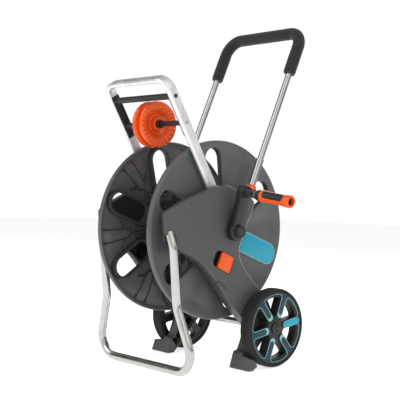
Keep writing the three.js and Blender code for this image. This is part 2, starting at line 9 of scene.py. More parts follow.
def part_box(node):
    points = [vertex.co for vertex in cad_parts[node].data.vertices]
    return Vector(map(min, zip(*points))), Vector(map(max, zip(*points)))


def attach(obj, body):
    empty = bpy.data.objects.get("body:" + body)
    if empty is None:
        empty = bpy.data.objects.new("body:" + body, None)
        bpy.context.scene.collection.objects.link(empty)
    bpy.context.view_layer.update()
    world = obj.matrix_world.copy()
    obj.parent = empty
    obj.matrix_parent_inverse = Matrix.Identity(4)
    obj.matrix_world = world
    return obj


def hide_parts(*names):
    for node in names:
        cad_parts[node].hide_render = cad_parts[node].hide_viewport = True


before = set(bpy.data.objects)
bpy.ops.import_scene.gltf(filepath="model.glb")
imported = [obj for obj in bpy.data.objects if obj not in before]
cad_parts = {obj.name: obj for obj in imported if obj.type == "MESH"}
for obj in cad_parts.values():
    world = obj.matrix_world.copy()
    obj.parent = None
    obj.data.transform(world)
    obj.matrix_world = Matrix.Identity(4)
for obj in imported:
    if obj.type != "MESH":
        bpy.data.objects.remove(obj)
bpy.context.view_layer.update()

# Garden hose reel cart. Shapes are laid out in millimetres about the drum's middle, as the CAD part is, and
# moved into the row frame when a piece is made: X across the cart (crank side +), Y to the rear, Z up.
MM = 0.001
core_low, core_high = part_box("drum_core")
ORIGIN = Vector(((core_low.x + core_high.x) / 2, (core_low.y + core_high.y) / 2, 0))
TO_ROW_FRAME = Matrix.Translation(ORIGIN) @ Matrix.Scale(MM, 4)

CAMERA_YAW, CAMERA_PITCH, CAMERA_ROLL = 47.88, -0.73, 1.45
CAMERA_PLACE, CAMERA_LENS, CAMERA_SENSOR = (1836.0, -1633.09, 461.22), 83.37, 36
LIGHTS = {  # place in metres, size, power
    "key": ((-0.6, -2.8, 2.8), 4.0, 70),
    "fill": ((3.2, 0.2, 2.4), 3.4, 32),
    "back": ((-1.4, 2.6, 2.6), 3.4, 44),
}
LIGHT_TARGET = (0, 0, 0.4)
FLOOR_TONE, FLOOR_GLOW, ROOM_LIGHT = 0.82, 0.66, 0.75
WELD = 0.004  # points closer than this become one

scene = bpy.context.scene


# ---- driving dimensions, in millimetres and degrees ----
AXIS_Z = 355
PLATE_INNER, PLATE_OUTER, PLATE_SKIN, RIB_SPACING, RIB_THICK = 124, 155, 3, 26, 1.6
SLOPE_START, SLOPE, SLOPE_BLEND = -60, 0.122, 22
PLATE_CORNERS = [  # y, z and how far each corner is rounded
    (-209, 399, 9), (-150, 431, 60), (-60, 465, 50), (-20, 471, 40), (28, 454, 30), (60, 446, 14),
    (80, 427, 7), (52, 366, 60), (23, 302, 34), (46, 257, 26), (150, 160, 26), (152, 100, 18),
    (143, 89, 10), (54, 0, 3), (31, 0, 4), (44, 42, 4), (58, 45, 6), (79, 101, 14), (2, 167, 40),
    (-69, 249, 26), (-88, 269, 26), (-108, 285, 36), (-170, 314, 3), (-175, 344, 8), (-187, 360, 8),
    (-198, 349, 6), (-203.5, 345, 3),
]
FOOT_CORNERS = [(31, 0, 4), (42, 37, 4), (50, 33, 3), (66, 13, 3), (48, 0, 3)]
FLANGE_RADIUS, RIM_INNER, WEB_IN, WEB_OUT, RIM_BACK, RIM_FRONT = 230, 219, 99.5, 103.5, 93, 107
SLOT_INNER, SLOT_OUTER, SLOT_WIDTH, COLLAR_BACK, COLLAR_WIDE = 88, 212, 54, 86, 7
PANEL_ANGLE, RIGHT_SLOTS, LEFT_SLOTS = -20, (-20, 34, 97, 157, 215, 285), (-20, 40, 103, 160, 214, 276)
WHEEL_Y, WHEEL_Z, WHEEL_RADIUS, WHEEL_INNER, WHEEL_OUTER, WHEEL_RIM = 132, 103, 102.5, 159.5, 193.5, 92
FINGER_PHASE, FINGER_HALF = 10, 10.5
HANDLE_X, HANDLE_Y, HANDLE_TILT, HANDLE_TOP, HANDLE_BOTTOM, HANDLE_BEND = 141.3, 27.3, 23.5, 586, 143, 45
GUIDE_X, GUIDE_Y, GUIDE_TILT, GUIDE_TOP, GUIDE_BOTTOM, GUIDE_BEND = 118.4, 24.6, 31.1, 431, 60, 30
GUIDE_WIDTH, GUIDE_THICK, ROLLER_FOLDS = 30, 13, 26
ROD_AT, BAR_AT = 311, 384
STAND_X, STAND_Y, STAND_LEAN, STAND_RADIUS, STAND_WALL = 142, -146.6, -0.122, 11, 1.4
CRANK_LEAN, CRANK_BASE, CRANK_LENGTH, CRANK_PIVOT, INLAY_TURN = 7, 174, 100, 33, 58
LOCK_Y, LOCK_Z, LOCK_LONG, LOCK_HIGH, LOCK_BACK, LOCK_FRONT = -20, 275, 21.5, 21, 147.3, 156.6
POCKET_FLOOR = 138
SLEEVE_LOW, SLEEVE_HIGH, SLEEVE_INNER, SLEEVE_OUTER = -50, 203, 8.4, 9.8
TUBE_RADIUS, TUBE_WALL, FOAM_START, FOAM_RADIUS, FOAM_FIT = 8, 1.2, 458, 17, 0.964
CORE_RADIUS, CORE_END, AXLE_RADIUS, SHAFT_BORE = 70, 99.2, 9.5, 9
TUBE_BORE, BORE_LOW, BORE_HIGH = 9, 70, 128  # the handle tube's way through a plate's top wall
LINE_TIP, LINE_HALF, LINE_OUTER, LINE_RADIUS = 37, 8.6, 88.0, 0.85
GRIP_MIDDLE, INLAY_END, INLAY_SIDE = 115, 34, 9.5
SQUARE = ((-1, -1), (1, -1), (1, 1), (-1, 1))


# ---- camera, floor and light ----
def make_camera():
    """The photograph's viewpoint: level with the drum, from the front on the crank side."""
    yaw, pitch, roll = radians(CAMERA_YAW), radians(CAMERA_PITCH), radians(CAMERA_ROLL)
    forward = Vector((-sin(yaw) * cos(pitch), cos(yaw) * cos(pitch), sin(pitch)))
    level = Vector((cos(yaw), sin(yaw), 0))
    upright = level.cross(forward)
    right = cos(roll) * level + sin(roll) * upright
    up = -sin(roll) * level + cos(roll) * upright
    data = bpy.data.cameras.new("camera")
    data.lens, data.sensor_width = CAMERA_LENS, CAMERA_SENSOR
    camera = bpy.data.objects.new("camera", data)
    camera.matrix_world = (Matrix.Translation(TO_ROW_FRAME @ Vector(CAMERA_PLACE))
                           @ Matrix((right, up, -forward)).transposed().to_4x4())
    scene.collection.objects.link(camera)
    scene.camera = camera


def add_node(tree, kind, value=None, socket="Vector", **numbers):
    """A new shader node with these numbers in its sockets, fed by `value`."""
    node = tree.nodes.new("ShaderNode" + kind)
    for name, number in numbers.items():
        node.inputs[name.replace("_", " ")].default_value = number
    if value is not None:
        tree.links.new(value, node.inputs[socket])
    return node


def set_ramp(node, stops):
    elements = node.color_ramp.elements
    while len(elements) < len(stops):
        elements.new(0.5)
    for element, (position, colour) in zip(elements, stops):
        element.position, element.color = position, colour


def make_floor():
    bm = bmesh.new()
    bmesh.ops.create_grid(bm, x_segments=8, y_segments=8, size=9)
    mesh = bpy.data.meshes.new("floor")
    bm.to_mesh(mesh)
    bm.free()
    floor = bpy.data.objects.new("floor", mesh)
    floor.location.z = -0.001
    scene.collection.objects.link(floor)
    paper = Finish("floor_paper", 0.9)
    paper.surface["Base Color"].default_value = (FLOOR_TONE, FLOOR_TONE, FLOOR_TONE, 1)
    paper.surface["Emission Color"].default_value = (1, 1, 1, 1)
    paper.surface["Emission Strength"].default_value = FLOOR_GLOW
    mesh.materials.append(paper.material)


def make_studio():
    """A pale floor, a white room with soft dark patches to reflect, and three large soft lights."""
    make_floor()
    world = bpy.data.worlds.new("studio")
    scene.world = world
    world.use_nodes = True
    tree = world.node_tree
    tree.nodes.clear()
    room = add_node(tree, "TexCoord").outputs["Generated"]
    wave = add_node(tree, "TexNoise", room, Scale=1.1, Detail=0)
    lean = add_node(tree, "Math", add_node(tree, "SeparateXYZ", room).outputs["Y"], 0)
    lean.operation = "MULTIPLY_ADD"
    lean.inputs[1].default_value = -0.12
    tree.links.new(wave.outputs["Fac"], lean.inputs[2])
    patches = add_node(tree, "ValToRGB", lean.outputs[0], "Fac")
    set_ramp(patches, [(0.40, (0.06, 0.06, 0.065, 1)), (0.60, (0.95, 0.95, 0.95, 1))])
    lit = add_node(tree, "Background", patches.outputs["Color"], "Color", Strength=ROOM_LIGHT)
    seen = add_node(tree, "Background", Color=(1, 1, 1, 1), Strength=1)
    mix = add_node(tree, "MixShader", add_node(tree, "LightPath").outputs["Is Camera Ray"], "Fac")
    tree.links.new(lit.outputs[0], mix.inputs[1])
    tree.links.new(seen.outputs[0], mix.inputs[2])
    add_node(tree, "OutputWorld", mix.outputs[0], "Surface")

    for name, (place, size, power) in LIGHTS.items():
        data = bpy.data.lights.new(name, "AREA")
        data.shape, data.size, data.energy = "DISK", size, power
        light = bpy.data.objects.new(name, data)
        light.location = place
        light.rotation_euler = (Vector(LIGHT_TARGET) - Vector(place)).to_track_quat("-Z", "Y").to_euler()
        scene.collection.objects.link(light)
    scene.view_settings.view_transform = "Standard"


# ---- materials ----
def linear(text):
    """A colour such as 'e2521d' as linear red, green, blue, alpha."""
    channels = [int(text[i:i + 2], 16) / 255 for i in (0, 2, 4)]
    return [c / 12.92 if c <= 0.04045 else ((c + 0.055) / 1.055) ** 2.4 for c in channels] + [1]


def shade(colour, factor):
    return [min(1, c * factor) for c in colour[:3]] + [1]


class Finish:
    """A material built up from noise: colour, roughness and relief over the surface of the whole cart."""

    def __init__(self, name, roughness, metallic=0.0):
        self.material = bpy.data.materials.new(name)
        self.material.use_nodes = True
        self.tree = self.material.node_tree
        self.surface = self.tree.nodes["Principled BSDF"].inputs
        self.surface["Metallic"].default_value = metallic
        self.surface["Roughness"].default_value = roughness
        self.place = add_node(self.tree, "TexCoord").outputs["Object"]
        self.normal = None

    def stretched(self, scale):
        return add_node(self.tree, "Mapping", self.place, Scale=scale).outputs["Vector"]

    def noise(self, scale, detail=3.0, rough=0.5, vector=None):
        node = add_node(self.tree, "TexNoise", vector or self.place,
                        Scale=scale, Detail=detail, Roughness=rough)
        return node.outputs["Fac"]

    def cells(self, scale):
        return add_node(self.tree, "TexVoronoi", self.place, Scale=scale).outputs["Distance"]

    def ramp(self, value, stops):
        node = add_node(self.tree, "ValToRGB", value, "Fac")
        set_ramp(node, stops)
        return node.outputs["Color"]

    def spread(self, value, low, high, start=0.3, end=0.7):
        return add_node(self.tree, "MapRange", value, "Value",
                        From_Min=start, From_Max=end, To_Min=low, To_Max=high).outputs["Result"]

    def mixed(self, value, first, second):
        node = self.tree.nodes.new("ShaderNodeMix")
        node.data_type = "RGBA"
        self.tree.links.new(value, node.inputs["Factor"])
        self.tree.links.new(first, node.inputs["A"])
        node.inputs["B"].default_value = second
        return node.outputs["Result"]

    def colour(self, value):
        self.tree.links.new(value, self.surface["Base Color"])

    def roughness(self, value):
        self.tree.links.new(value, self.surface["Roughness"])

    def relief(self, height, depth, strength=1.0):
        """Adds bumps of `depth` millimetres to what is there already."""
        node = add_node(self.tree, "Bump", height, "Height", Strength=strength, Distance=depth * MM)
        if self.normal is not None:
            self.tree.links.new(self.normal, node.inputs["Normal"])
        self.normal = node.outputs["Normal"]
        self.tree.links.new(self.normal, self.surface["Normal"])


def moulded(name, colour, roughness, spread, grain, grain_scale=900.0, scuffs=0.12):
    """Moulded plastic: spark-eroded grain, faint flow marks, and a few paler rubbed streaks."""
    base = linear(colour)
    finish = Finish(name, roughness)
    flow = finish.noise(9.0, 4.0, 0.55, finish.stretched((1, 1.7, 0.8)))
    tone = finish.ramp(flow, [(0.25, shade(base, 1 - spread)), (0.75, shade(base, 1 + spread))])
    rubbed = finish.noise(46.0, 8.0, 0.72, finish.stretched((1, 0.35, 2.6)))
    finish.colour(finish.mixed(finish.spread(rubbed, 0.0, scuffs, 0.60, 0.74), tone, shade(base, 1.7)))
    finish.roughness(finish.spread(finish.noise(120.0, 5.0, 0.6), roughness - 0.07, roughness + 0.09))
    finish.relief(finish.noise(grain_scale, 2.0, 0.5), grain)
    finish.relief(finish.noise(26.0, 2.0, 0.5), 0.35, 0.5)
    return finish.material


def chrome(name, colour, roughness, metallic=1.0):
    """Plated or polished metal: patchy haze, slightly dulled spots and a barely uneven skin."""
    base = linear(colour)
    finish = Finish(name, roughness, metallic)
    haze = finish.noise(34.0, 6.0, 0.65)
    finish.colour(finish.ramp(haze, [(0.3, shade(base, 0.86)), (0.7, shade(base, 1.06))]))
    finish.roughness(finish.spread(haze, roughness - 0.05, roughness + 0.10, 0.3, 0.75))
    finish.relief(finish.noise(22.0, 1.0, 0.5), 0.02, 0.7)
    return finish.material


def foamed(name, colour):
    """Closed-cell foam: small pits over a soft, slightly uneven skin."""
    base = linear(colour)
    finish = Finish(name, 0.92)
    cells = finish.cells(700.0)
    finish.colour(finish.ramp(cells, [(0.05, shade(base, 0.8)), (0.5, shade(base, 1.12))]))
    finish.roughness(finish.spread(finish.noise(60.0), 0.84, 0.97))
    finish.relief(cells, 0.3, 0.6)
    finish.relief(finish.noise(70.0, 3.0), 0.5, 0.5)
    finish.surface["Sheen Weight"].default_value = 0.15
    return finish.material


def rubbery(name, colour):
    """Hard wheel tread: matt, dusty and finely pitted."""
    base = linear(colour)
    finish = Finish(name, 0.8)
    dust = finish.noise(30.0, 7.0, 0.7)
    finish.colour(finish.ramp(dust, [(0.3, shade(base, 0.8)), (0.62, base), (0.8, shade(base, 1.9))]))
    finish.roughness(finish.spread(dust, 0.68, 0.92))
    finish.relief(finish.noise(650.0, 3.0), 0.16)
    return finish.material


GREY = moulded("grey_moulding", "4b4b4c", 0.47, 0.07, 0.08)
DRUM_GREY = moulded("drum_moulding", "565758", 0.4, 0.07, 0.06)
BLACK = moulded("black_moulding", "1b1b1c", 0.44, 0.12, 0.08)
# dark grey: painted shade on the plates' inner ribs, the thumb recess line and the flanges' inner ribs and
# collars; also the crank cap's centre
DARK_GREY_AND_PAINTED_SHADE = moulded("dark_grey_and_painted_shade_moulding", "2f2f30", 0.6, 0.12, 0.10)
# a pale grey for the painted highlight along the plates' rear edges
PAINTED_HIGHLIGHT = moulded("painted_highlight_edge", "a2a2a0", 0.5, 0.08, 0.05)
DARK = moulded("dark_inside_moulding", "303031", 0.6, 0.15, 0.10)
ORANGE = moulded("orange_moulding", "ee5a0c", 0.36, 0.06, 0.05, 800.0, 0.06)
GLOSSY_ORANGE = moulded("roller_moulding", "e9540a", 0.2, 0.06, 0.05, 800.0, 0.06)
TURQUOISE = moulded("turquoise_moulding", "159fba", 0.42, 0.05, 0.05, 800.0, 0.08)
PALE_TURQUOISE = moulded("turquoise_edge", "86bcc2", 0.45, 0.05, 0.05, 800.0, 0.08)
ALUMINIUM = chrome("satin_aluminium", "e9eaeb", 0.36, 0.6)
CHROME = chrome("chromed_tube", "c4c4c0", 0.2)
# a darker copy of the chrome for the handle's tubes: painted shade
SHADED_HANDLE_CHROME = chrome("handle_chrome_painted_shade", "acacaa", 0.2)
STEEL = chrome("plated_steel_bits", "a8aaac", 0.28)
FOAM = foamed("black_foam", "1c1c1d")
TYRE = rubbery("tread_compound", "1b1b1c")
DARK_TEAL = moulded("dark_teal_moulding", "06343e", 0.44, 0.08, 0.06)


# ---- mesh helpers ----
def clamped(value):
    return min(1.0, max(0.0, value))


def circle(radius, steps, start=0.0, span=360.0):
    """Points (a, b) round a circle, or over part of one with both its ends."""
    angles = [radians(start + span * i / steps) for i in range(steps if span == 360 else steps + 1)]
    return [Vector((radius * cos(angle), radius * sin(angle))) for angle in angles]


def rounded(corners, steps=8, closed=True):
    """An outline through corners (a, b, reach), each rounded from `reach` before it to `reach` after it."""
    points = []
    count = len(corners)
    for i, (a, b, reach) in enumerate(corners):
        here = Vector((a, b))
        if not closed and i in (0, count - 1):
            points.append(here)
            continue
        back = Vector(corners[i - 1][:2]) - here
        on = Vector(corners[(i + 1) % count][:2]) - here
        reach = min(reach, 0.45 * back.length, 0.45 * on.length)
        if reach <= 0:
            points.append(here)
            continue
        first, last = here + back.normalized() * reach, here + on.normalized() * reach
        for k in range(steps + 1):
            t = k / steps
            points.append(first * (1 - t) ** 2 + here * (2 * t * (1 - t)) + last * t * t)
    return points


def spaced(points, step):
    """The closed outline with long straight stretches divided."""
    out = []
    for i, here in enumerate(points):
        after = points[(i + 1) % len(points)]
        parts = max(1, round((after - here).length / step))
        out += [here.lerp(after, k / parts) for k in range(parts)]
    return out


def moved_in(points, distance):
    """A closed outline moved inwards by a distance, or by one distance for each point."""
    count = len(points)
    area = sum(points[i - 1].x * points[i].y - points[i].x * points[i - 1].y for i in range(count))
    turn = 1 if area > 0 else -1
    moved = []
    for i, here in enumerate(points):
        arriving = (here - points[i - 1]).normalized()
        leaving = (points[(i + 1) % count] - here).normalized()
        one, two = Vector((-arriving.y, arriving.x)), Vector((-leaving.y, leaving.x))
        normal = (one + two).normalized()
        reach = distance[i] if isinstance(distance, list) else distance
        moved.append(here + normal * (turn * reach / max(0.6, normal.dot(one))))
    return moved


def slot_outline(width, inner, outer, angle, steps=12):
    """A round-ended slot lying along a radius at `angle` degrees."""
    half = width / 2
    points = [Vector((outer - half, 0)) + p for p in circle(half, steps, -90, 180)]
    points += [Vector((inner + half, 0)) + p for p in circle(half, steps, 90, 180)]
    turn = Matrix.Rotation(radians(angle), 2)
    return [turn @ p for p in points]


def loft(bm, loops, ring=False, capped=True):
    """Skins closed loops of points one after another; `ring` joins the last loop to the first."""
    rows = [[bm.verts.new(p) for p in loop] for loop in loops]
    pairs = list(zip(rows, rows[1:]))
    if ring:
        pairs.append((rows[-1], rows[0]))
    for one, two in pairs:
        for i in range(len(one)):
            bm.faces.new((one[i - 1], one[i], two[i], two[i - 1]))
    if capped and not ring:
        bm.faces.new(rows[0][::-1])
        bm.faces.new(rows[-1])


def turned(bm, profile, place, steps=64, ring=False):
    """A body of revolution from (along, radius) points; place(along, a, b) puts it in the cart."""
    loft(bm, [[place(along, *p) for p in circle(max(radius, 1e-4), steps)] for along, radius in profile],
         ring=ring, capped=False)


def lathe(profile, place, steps, corner_steps=3, ring=False):
    """A new body of revolution with rounded corners; `ring` closes the profile, as in a tube."""
    bm = bmesh.new()
    turned(bm, rounded(profile, corner_steps, ring), place, steps, ring)
    return bm


def about_x(y, z):
    return lambda along, a, b: Vector((along, y + a, z + b))


DRUM_AXIS, WHEEL_AXIS = about_x(0, AXIS_Z), about_x(WHEEL_Y, WHEEL_Z)


def at_x(x, p):
    return Vector((x, *p))


def walled(bm, outline, rings, place=at_x, ring=False):
    """Skins an outline through rings (x, how far it is moved in there)."""
    loft(bm, [[place(x, p) for p in moved_in(outline, inset)] for x, inset in rings], ring, False)


def filled(bm, outer, holes, x, place=at_x):
    """A flat face of an outline with holes."""
    loops = [outer] + holes
    verts = [bm.verts.new(place(x, p)) for loop in loops for p in loop]
    for triangle in tessellate_polygon([[Vector((p.x, p.y, 0)) for p in loop] for loop in loops]):
        if len(set(triangle)) == 3:
            bm.faces.new([verts[i] for i in triangle])


def slab(bm, points, x0, x1, edge=1.0, holes=()):
    """An outline in Y and Z made solid between two X positions, with rounded edges and open-through holes."""
    rings = [(x0, edge), (x0 + 0.3 * edge, 0.3 * edge), (x0 + edge, 0), (x1 - edge, 0),
             (x1 - 0.3 * edge, 0.3 * edge), (x1, edge)]
    walled(bm, points, rings)
    for hole in holes:
        walled(bm, hole, [(x, -inset) for x, inset in rings])
    inner, around = moved_in(points, edge), [moved_in(hole, -edge) for hole in holes]
    for x in (x0, x1):
        filled(bm, inner, around, x)


def bent(corners, bends, steps=14):
    """Points along straight runs joined by round bends."""
    points = [Vector(corners[0])]
    for i, bend in enumerate(bends, 1):
        here = Vector(corners[i])
        arriving = (here - Vector(corners[i - 1])).normalized()
        leaving = (Vector(corners[i + 1]) - here).normalized()
        turn = arriving.angle(leaving)
        start = here - arriving * (bend * tan(turn / 2))
        side = (leaving - arriving * leaving.dot(arriving)).normalized()
        for k in range(steps + 1):
            angle = turn * k / steps
            points.append(start + arriving * (bend * sin(angle)) + side * (bend * (1 - cos(angle))))
    points.append(Vector(corners[-1]))
    return points


def divided(path, step):
    """The same path with stations no further apart than `step`."""
    out = []
    for one, two in zip(path, path[1:]):
        parts = max(1, round((two - one).length / step))
        out += [one.lerp(two, k / parts) for k in range(parts)]
    return out + [path[-1]]


def swept(bm, path, section, across, scales=None, ring=False, capped=True):
    """A section (across, within) drawn along a path in a plane whose normal is `across`."""
    across = Vector(across).normalized()
    count = len(path)
    loops = []
    for i, here in enumerate(path):
        before = path[i - 1] if i or ring else here
        after = path[(i + 1) % count] if ring or i < count - 1 else here
        tangent = (after - before).normalized()
        within = tangent.cross(across).normalized()
        scale = scales[i] if scales else 1
        loops.append([here + across * (p.x * scale) + within * (p.y * scale) for p in section])
    loft(bm, loops, ring=ring, capped=capped)


def pipe(bm, path, radius, wall, across, steps=36):
    """A round tube with a wall, open at both ends."""
    radii = (radius, radius - wall)
    for r in radii:
        swept(bm, path, circle(r, steps), across, capped=False)
    across = Vector(across).normalized()
    for end, after in ((path[0], path[1]), (path[-1], path[-2])):
        within = (after - end).normalized().cross(across).normalized()
        loft(bm, [[end + across * p.x + within * p.y for p in circle(r, steps)] for r in radii], capped=False)


def placed_slab(bm, place, outline, x0, x1, edge, holes=()):
    """A slab whose points are carried by `place` before it joins the rest."""
    part = bmesh.new()
    slab(part, outline, x0, x1, edge, holes)
    for vert in part.verts:
        vert.co = place(vert.co)
    mesh = bpy.data.meshes.new("part")
    part.to_mesh(mesh)
    part.free()
    bm.from_mesh(mesh)
    bpy.data.meshes.remove(mesh)


def box(bm, x0, x1, y0, y1, z0, z1, edge=0.8, place=Vector):
    """A block with rounded edges."""
    corners = [(y, z, 2 * edge) for y, z in ((y0, z0), (y1, z0), (y1, z1), (y0, z1))]
    placed_slab(bm, place, rounded(corners, 4), x0, x1, edge)


def grid_cut(bm, step):
    """Cuts every face along a square grid in Y and Z, so that a wide face can be curved."""
    for normal in (Vector((0, 1, 0)), Vector((0, 0, 1))):
        values = [v.co.dot(normal) for v in bm.verts]
        low, high = min(values), max(values)
        for k in range(1, int((high - low) / step) + 1):
            bmesh.ops.bisect_plane(bm, geom=bm.verts[:] + bm.edges[:] + bm.faces[:], dist=0.0005,
                                   plane_co=normal * (low + k * step), plane_no=normal)


def piece(name, bm, body, material, node=None, sharp=32, mirrored=False):
    """Makes a bmesh, in millimetres, a smooth-shaded piece that rides on a body, in place of a CAD node."""
    bmesh.ops.remove_doubles(bm, verts=bm.verts, dist=WELD)
    bmesh.ops.recalc_face_normals(bm, faces=bm.faces)
    mesh = bpy.data.meshes.new(name)
    bm.to_mesh(mesh)
    bm.free()
    if mirrored:
        mesh.transform(Matrix.Scale(-1, 4, Vector((1, 0, 0))))
        mesh.flip_normals()
    mesh.transform(TO_ROW_FRAME)
    mesh.shade_smooth()
    mesh.set_sharp_from_angle(angle=radians(sharp))
    mesh.materials.append(material)
    made = bpy.data.objects.new(name, mesh)
    scene.collection.objects.link(made)
    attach(made, body)
    if node:
        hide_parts(node)
    return made


def pair(name, bm, material, node=None, bodies=("frame", "frame"), sharp=32):
    """The same piece on the right, and mirrored on the left; `node` is without its side."""
    sides = ((bm.copy(), "right", bodies[0], False), (bm, "left", bodies[1], True))
    return [piece(f"{name}_{side}", part, body, material, node and f"{node}_{side}", sharp, mirrored)
            for part, side, body, mirrored in sides]


def ring_piece(bm, inner, outer, x0, x1, axis, edge=0.6, steps=64):
    """A collar or washer about a line along X."""
    profile = rounded([(x0, inner, edge), (x1, inner, edge), (x1, outer, edge), (x0, outer, edge)], 4)
    turned(bm, profile, axis, steps, ring=True)


def button(bm, radius, x0, x1, axis, edge):
    """A disc with a rounded front edge."""
    profile = rounded([(x0, 0, 0), (x0, radius, 0), (x1, radius, edge), (x1, 0, 0)], 5, closed=False)
    turned(bm, profile, axis, 48)


# ---- side plates ----
def on_outer_face(point):
    """Slopes the plate in towards its front tip."""
    x, y, z = point
    share = max(0.0, (x - PLATE_INNER) / (PLATE_OUTER - PLATE_INNER))
    ahead = (SLOPE_START - y) / SLOPE_BLEND
    drop = SLOPE * SLOPE_BLEND * (ahead if ahead >= 1 else max(0.0, ahead + 1) ** 2 / 4)
    return Vector((x - share * drop, y, z))


def latch_pocket():
    """The latch pocket, squared to the handle line, with a half-round finger recess at its front."""
    half = LOCK_HIGH + 0.5
    front, back = -(LOCK_LONG + 21), LOCK_LONG + 3
    corners = [(front, -half, half), (back, -half, 3), (back, half, 3), (front, half, half)]
    lean = Matrix.Rotation(radians(-HANDLE_TILT), 2)
    return [Vector((LOCK_Y, LOCK_Z)) + lean @ p for p in rounded(corners, 10)]


def clipped(start, direction, polygon):
    """The stretches of a line that lie inside a polygon, as pairs of distances along it."""
    hits = []
    for i, b in enumerate(polygon):
        a = polygon[i - 1]
        edge = b - a
        cross = direction.x * edge.y - direction.y * edge.x
        if abs(cross) < 1e-9:
            continue
        away = a - start
        along = (away.x * edge.y - away.y * edge.x) / cross
        share = (away.x * direction.y - away.y * direction.x) / cross
        if 0 <= share < 1:
            hits.append(along)
    hits.sort()
    return list(zip(hits[::2], hits[1::2]))


def rib_lattice(bm, polygon, x0, x1):
    """Crossed stiffening ribs at 45 degrees that fill a polygon."""
    for sign in (1, -1):
        direction = Vector((1, sign)).normalized()
        normal = Vector((-direction.y, direction.x))
        side = normal * (RIB_THICK / 2)
        for k in range(-30, 31):
            start = Vector((0, 180)) + normal * (k * RIB_SPACING)
            for low, high in clipped(start, direction, polygon):
                if high - low < 4:
                    continue
                one, two = start + direction * low, start + direction * high
                corners = [one - side, two - side, two + side, one + side]
                loft(bm, [[at_x(x, p) for p in corners] for x in (x0, x1)])


def plate_shells(outline, pocket):
    # the upper edges roll over broadly, the foot and notch edges are crisp
    roll = []
    for p in outline:
        notch = clamped(hypot(p.x + 178, p.y - 345) / 40 - 0.5)
        roll.append(1.6 + 4.4 * clamped((p.y - 120) / 120) * notch)
    loops = [[at_x(PLATE_INNER, p) for p in outline]]
    for k in range(7):
        angle = radians(15 * k)
        moved = moved_in(outline, [r * (1 - cos(angle)) for r in roll])
        loops.append([at_x(PLATE_OUTER - r * (1 - sin(angle)), p) for r, p in zip(roll, moved)])
    bm = bmesh.new()
    loft(bm, loops, capped=False)
    rim = [Vector(p[1:]) for p in loops[-1]]
    filled(bm, rim, [moved_in(pocket, -1.5)], PLATE_OUTER)
    walled(bm, pocket, [(PLATE_OUTER, -1.5), (PLATE_OUTER - 0.5, -0.5), (PLATE_OUTER - 1.6, 0)])
    bmesh.ops.remove_doubles(bm, verts=bm.verts, dist=WELD)
    grid_cut(bm, 11)
    for vert in bm.verts:
        vert.co = on_outer_face(vert.co)
    for shell in pair("plate_shell", bm, GREY, "side_plate", sharp=28):
        wall = shell.modifiers.new("wall", "SOLIDIFY")
        wall.thickness, wall.offset = PLATE_SKIN * MM, -1
        bored(shell)


def side_plates():
    outline, pocket = spaced(rounded(PLATE_CORNERS, 8), 14), latch_pocket()
    plate_shells(outline, pocket)

    # the pocket's walls and floor are black: painted shade in the deep recess
    bm = bmesh.new()
    top, low = PLATE_OUTER - 1.4, POCKET_FLOOR
    walls = [(top, 0), (low + 2.1, 0), (low + 1.5, 0.6), (low, 0.6), (low, -1.2), (top, -1.2)]
    walled(bm, pocket, walls, ring=True)
    slab(bm, moved_in(pocket, 0.2), low, low + 1.5, 0.2)
    pair("plate_pocket", bm, BLACK)

    # a painted highlight: a pale line down the moulding's rear edge, where light catches its rounded arris
    bm = bmesh.new()
    rear = [p for p in outline if p.y > 165 and p.x > (2 + 0.05 * p.y if p.y < 440 else -25)]
    line = [on_outer_face(Vector((PLATE_OUTER - 2.0, p.x - 0.9, p.y))) for p in rear]
    swept(bm, line, circle(0.75, 8), (1, 0, 0))
    pair("plate_edge_highlight", bm, PAINTED_HIGHLIGHT)

    # painted shade: a dark line outlining a small thumb recess where the lower front edge turns down to the
    # foot
    bm = bmesh.new()
    corners = [(-30, 190), (-58, 217), (-42, 232), (-16, 206)]
    mark = bent([on_outer_face(at_x(PLATE_OUTER - 0.2, p)) for p in corners], [9, 9], 8)
    swept(bm, mark, circle(1.6, 8), (1, 0, 0))
    pair("plate_thumb_recess_shade_line", bm, DARK_GREY_AND_PAINTED_SHADE)

    # the ribs inside the plate are dark grey: painted shade
    bm = bmesh.new()
    low_part = [Vector((p.x, min(p.y, 196))) for p in moved_in(outline, PLATE_SKIN - 0.4)]
    rib_lattice(bm, low_part, PLATE_INNER + 3, PLATE_OUTER - PLATE_SKIN + 0.5)
    pair("plate_rib", bm, DARK_GREY_AND_PAINTED_SHADE)

    # the feet are lower towards the outside
    bm = bmesh.new()
    slab(bm, rounded(FOOT_CORNERS, 6), PLATE_INNER + 1, WHEEL_OUTER + 0.5, 1.8)
    for vert in bm.verts:
        vert.co.z *= 1.12 - 0.3 * clamped((vert.co.x - WHEEL_INNER) / (WHEEL_OUTER - WHEEL_INNER))
    pair("plate_foot", bm, GREY)

    # sockets for the stand, the drum and the axle; the drum's is slim beside the handle's tube
    bm = bmesh.new()
    box(bm, PLATE_INNER, PLATE_INNER + 4, -204, -170, 330, 372)
    ring_piece(bm, 14.3, 21, PLATE_INNER - 10, HANDLE_X - 10.5, DRUM_AXIS)
    ring_piece(bm, 14.3, 16.4, HANDLE_X - 11, PLATE_OUTER - 2, DRUM_AXIS)
    ring_piece(bm, 9.8, 17, PLATE_INNER, PLATE_OUTER - 2, WHEEL_AXIS)
    pair("plate_socket", bm, DARK)


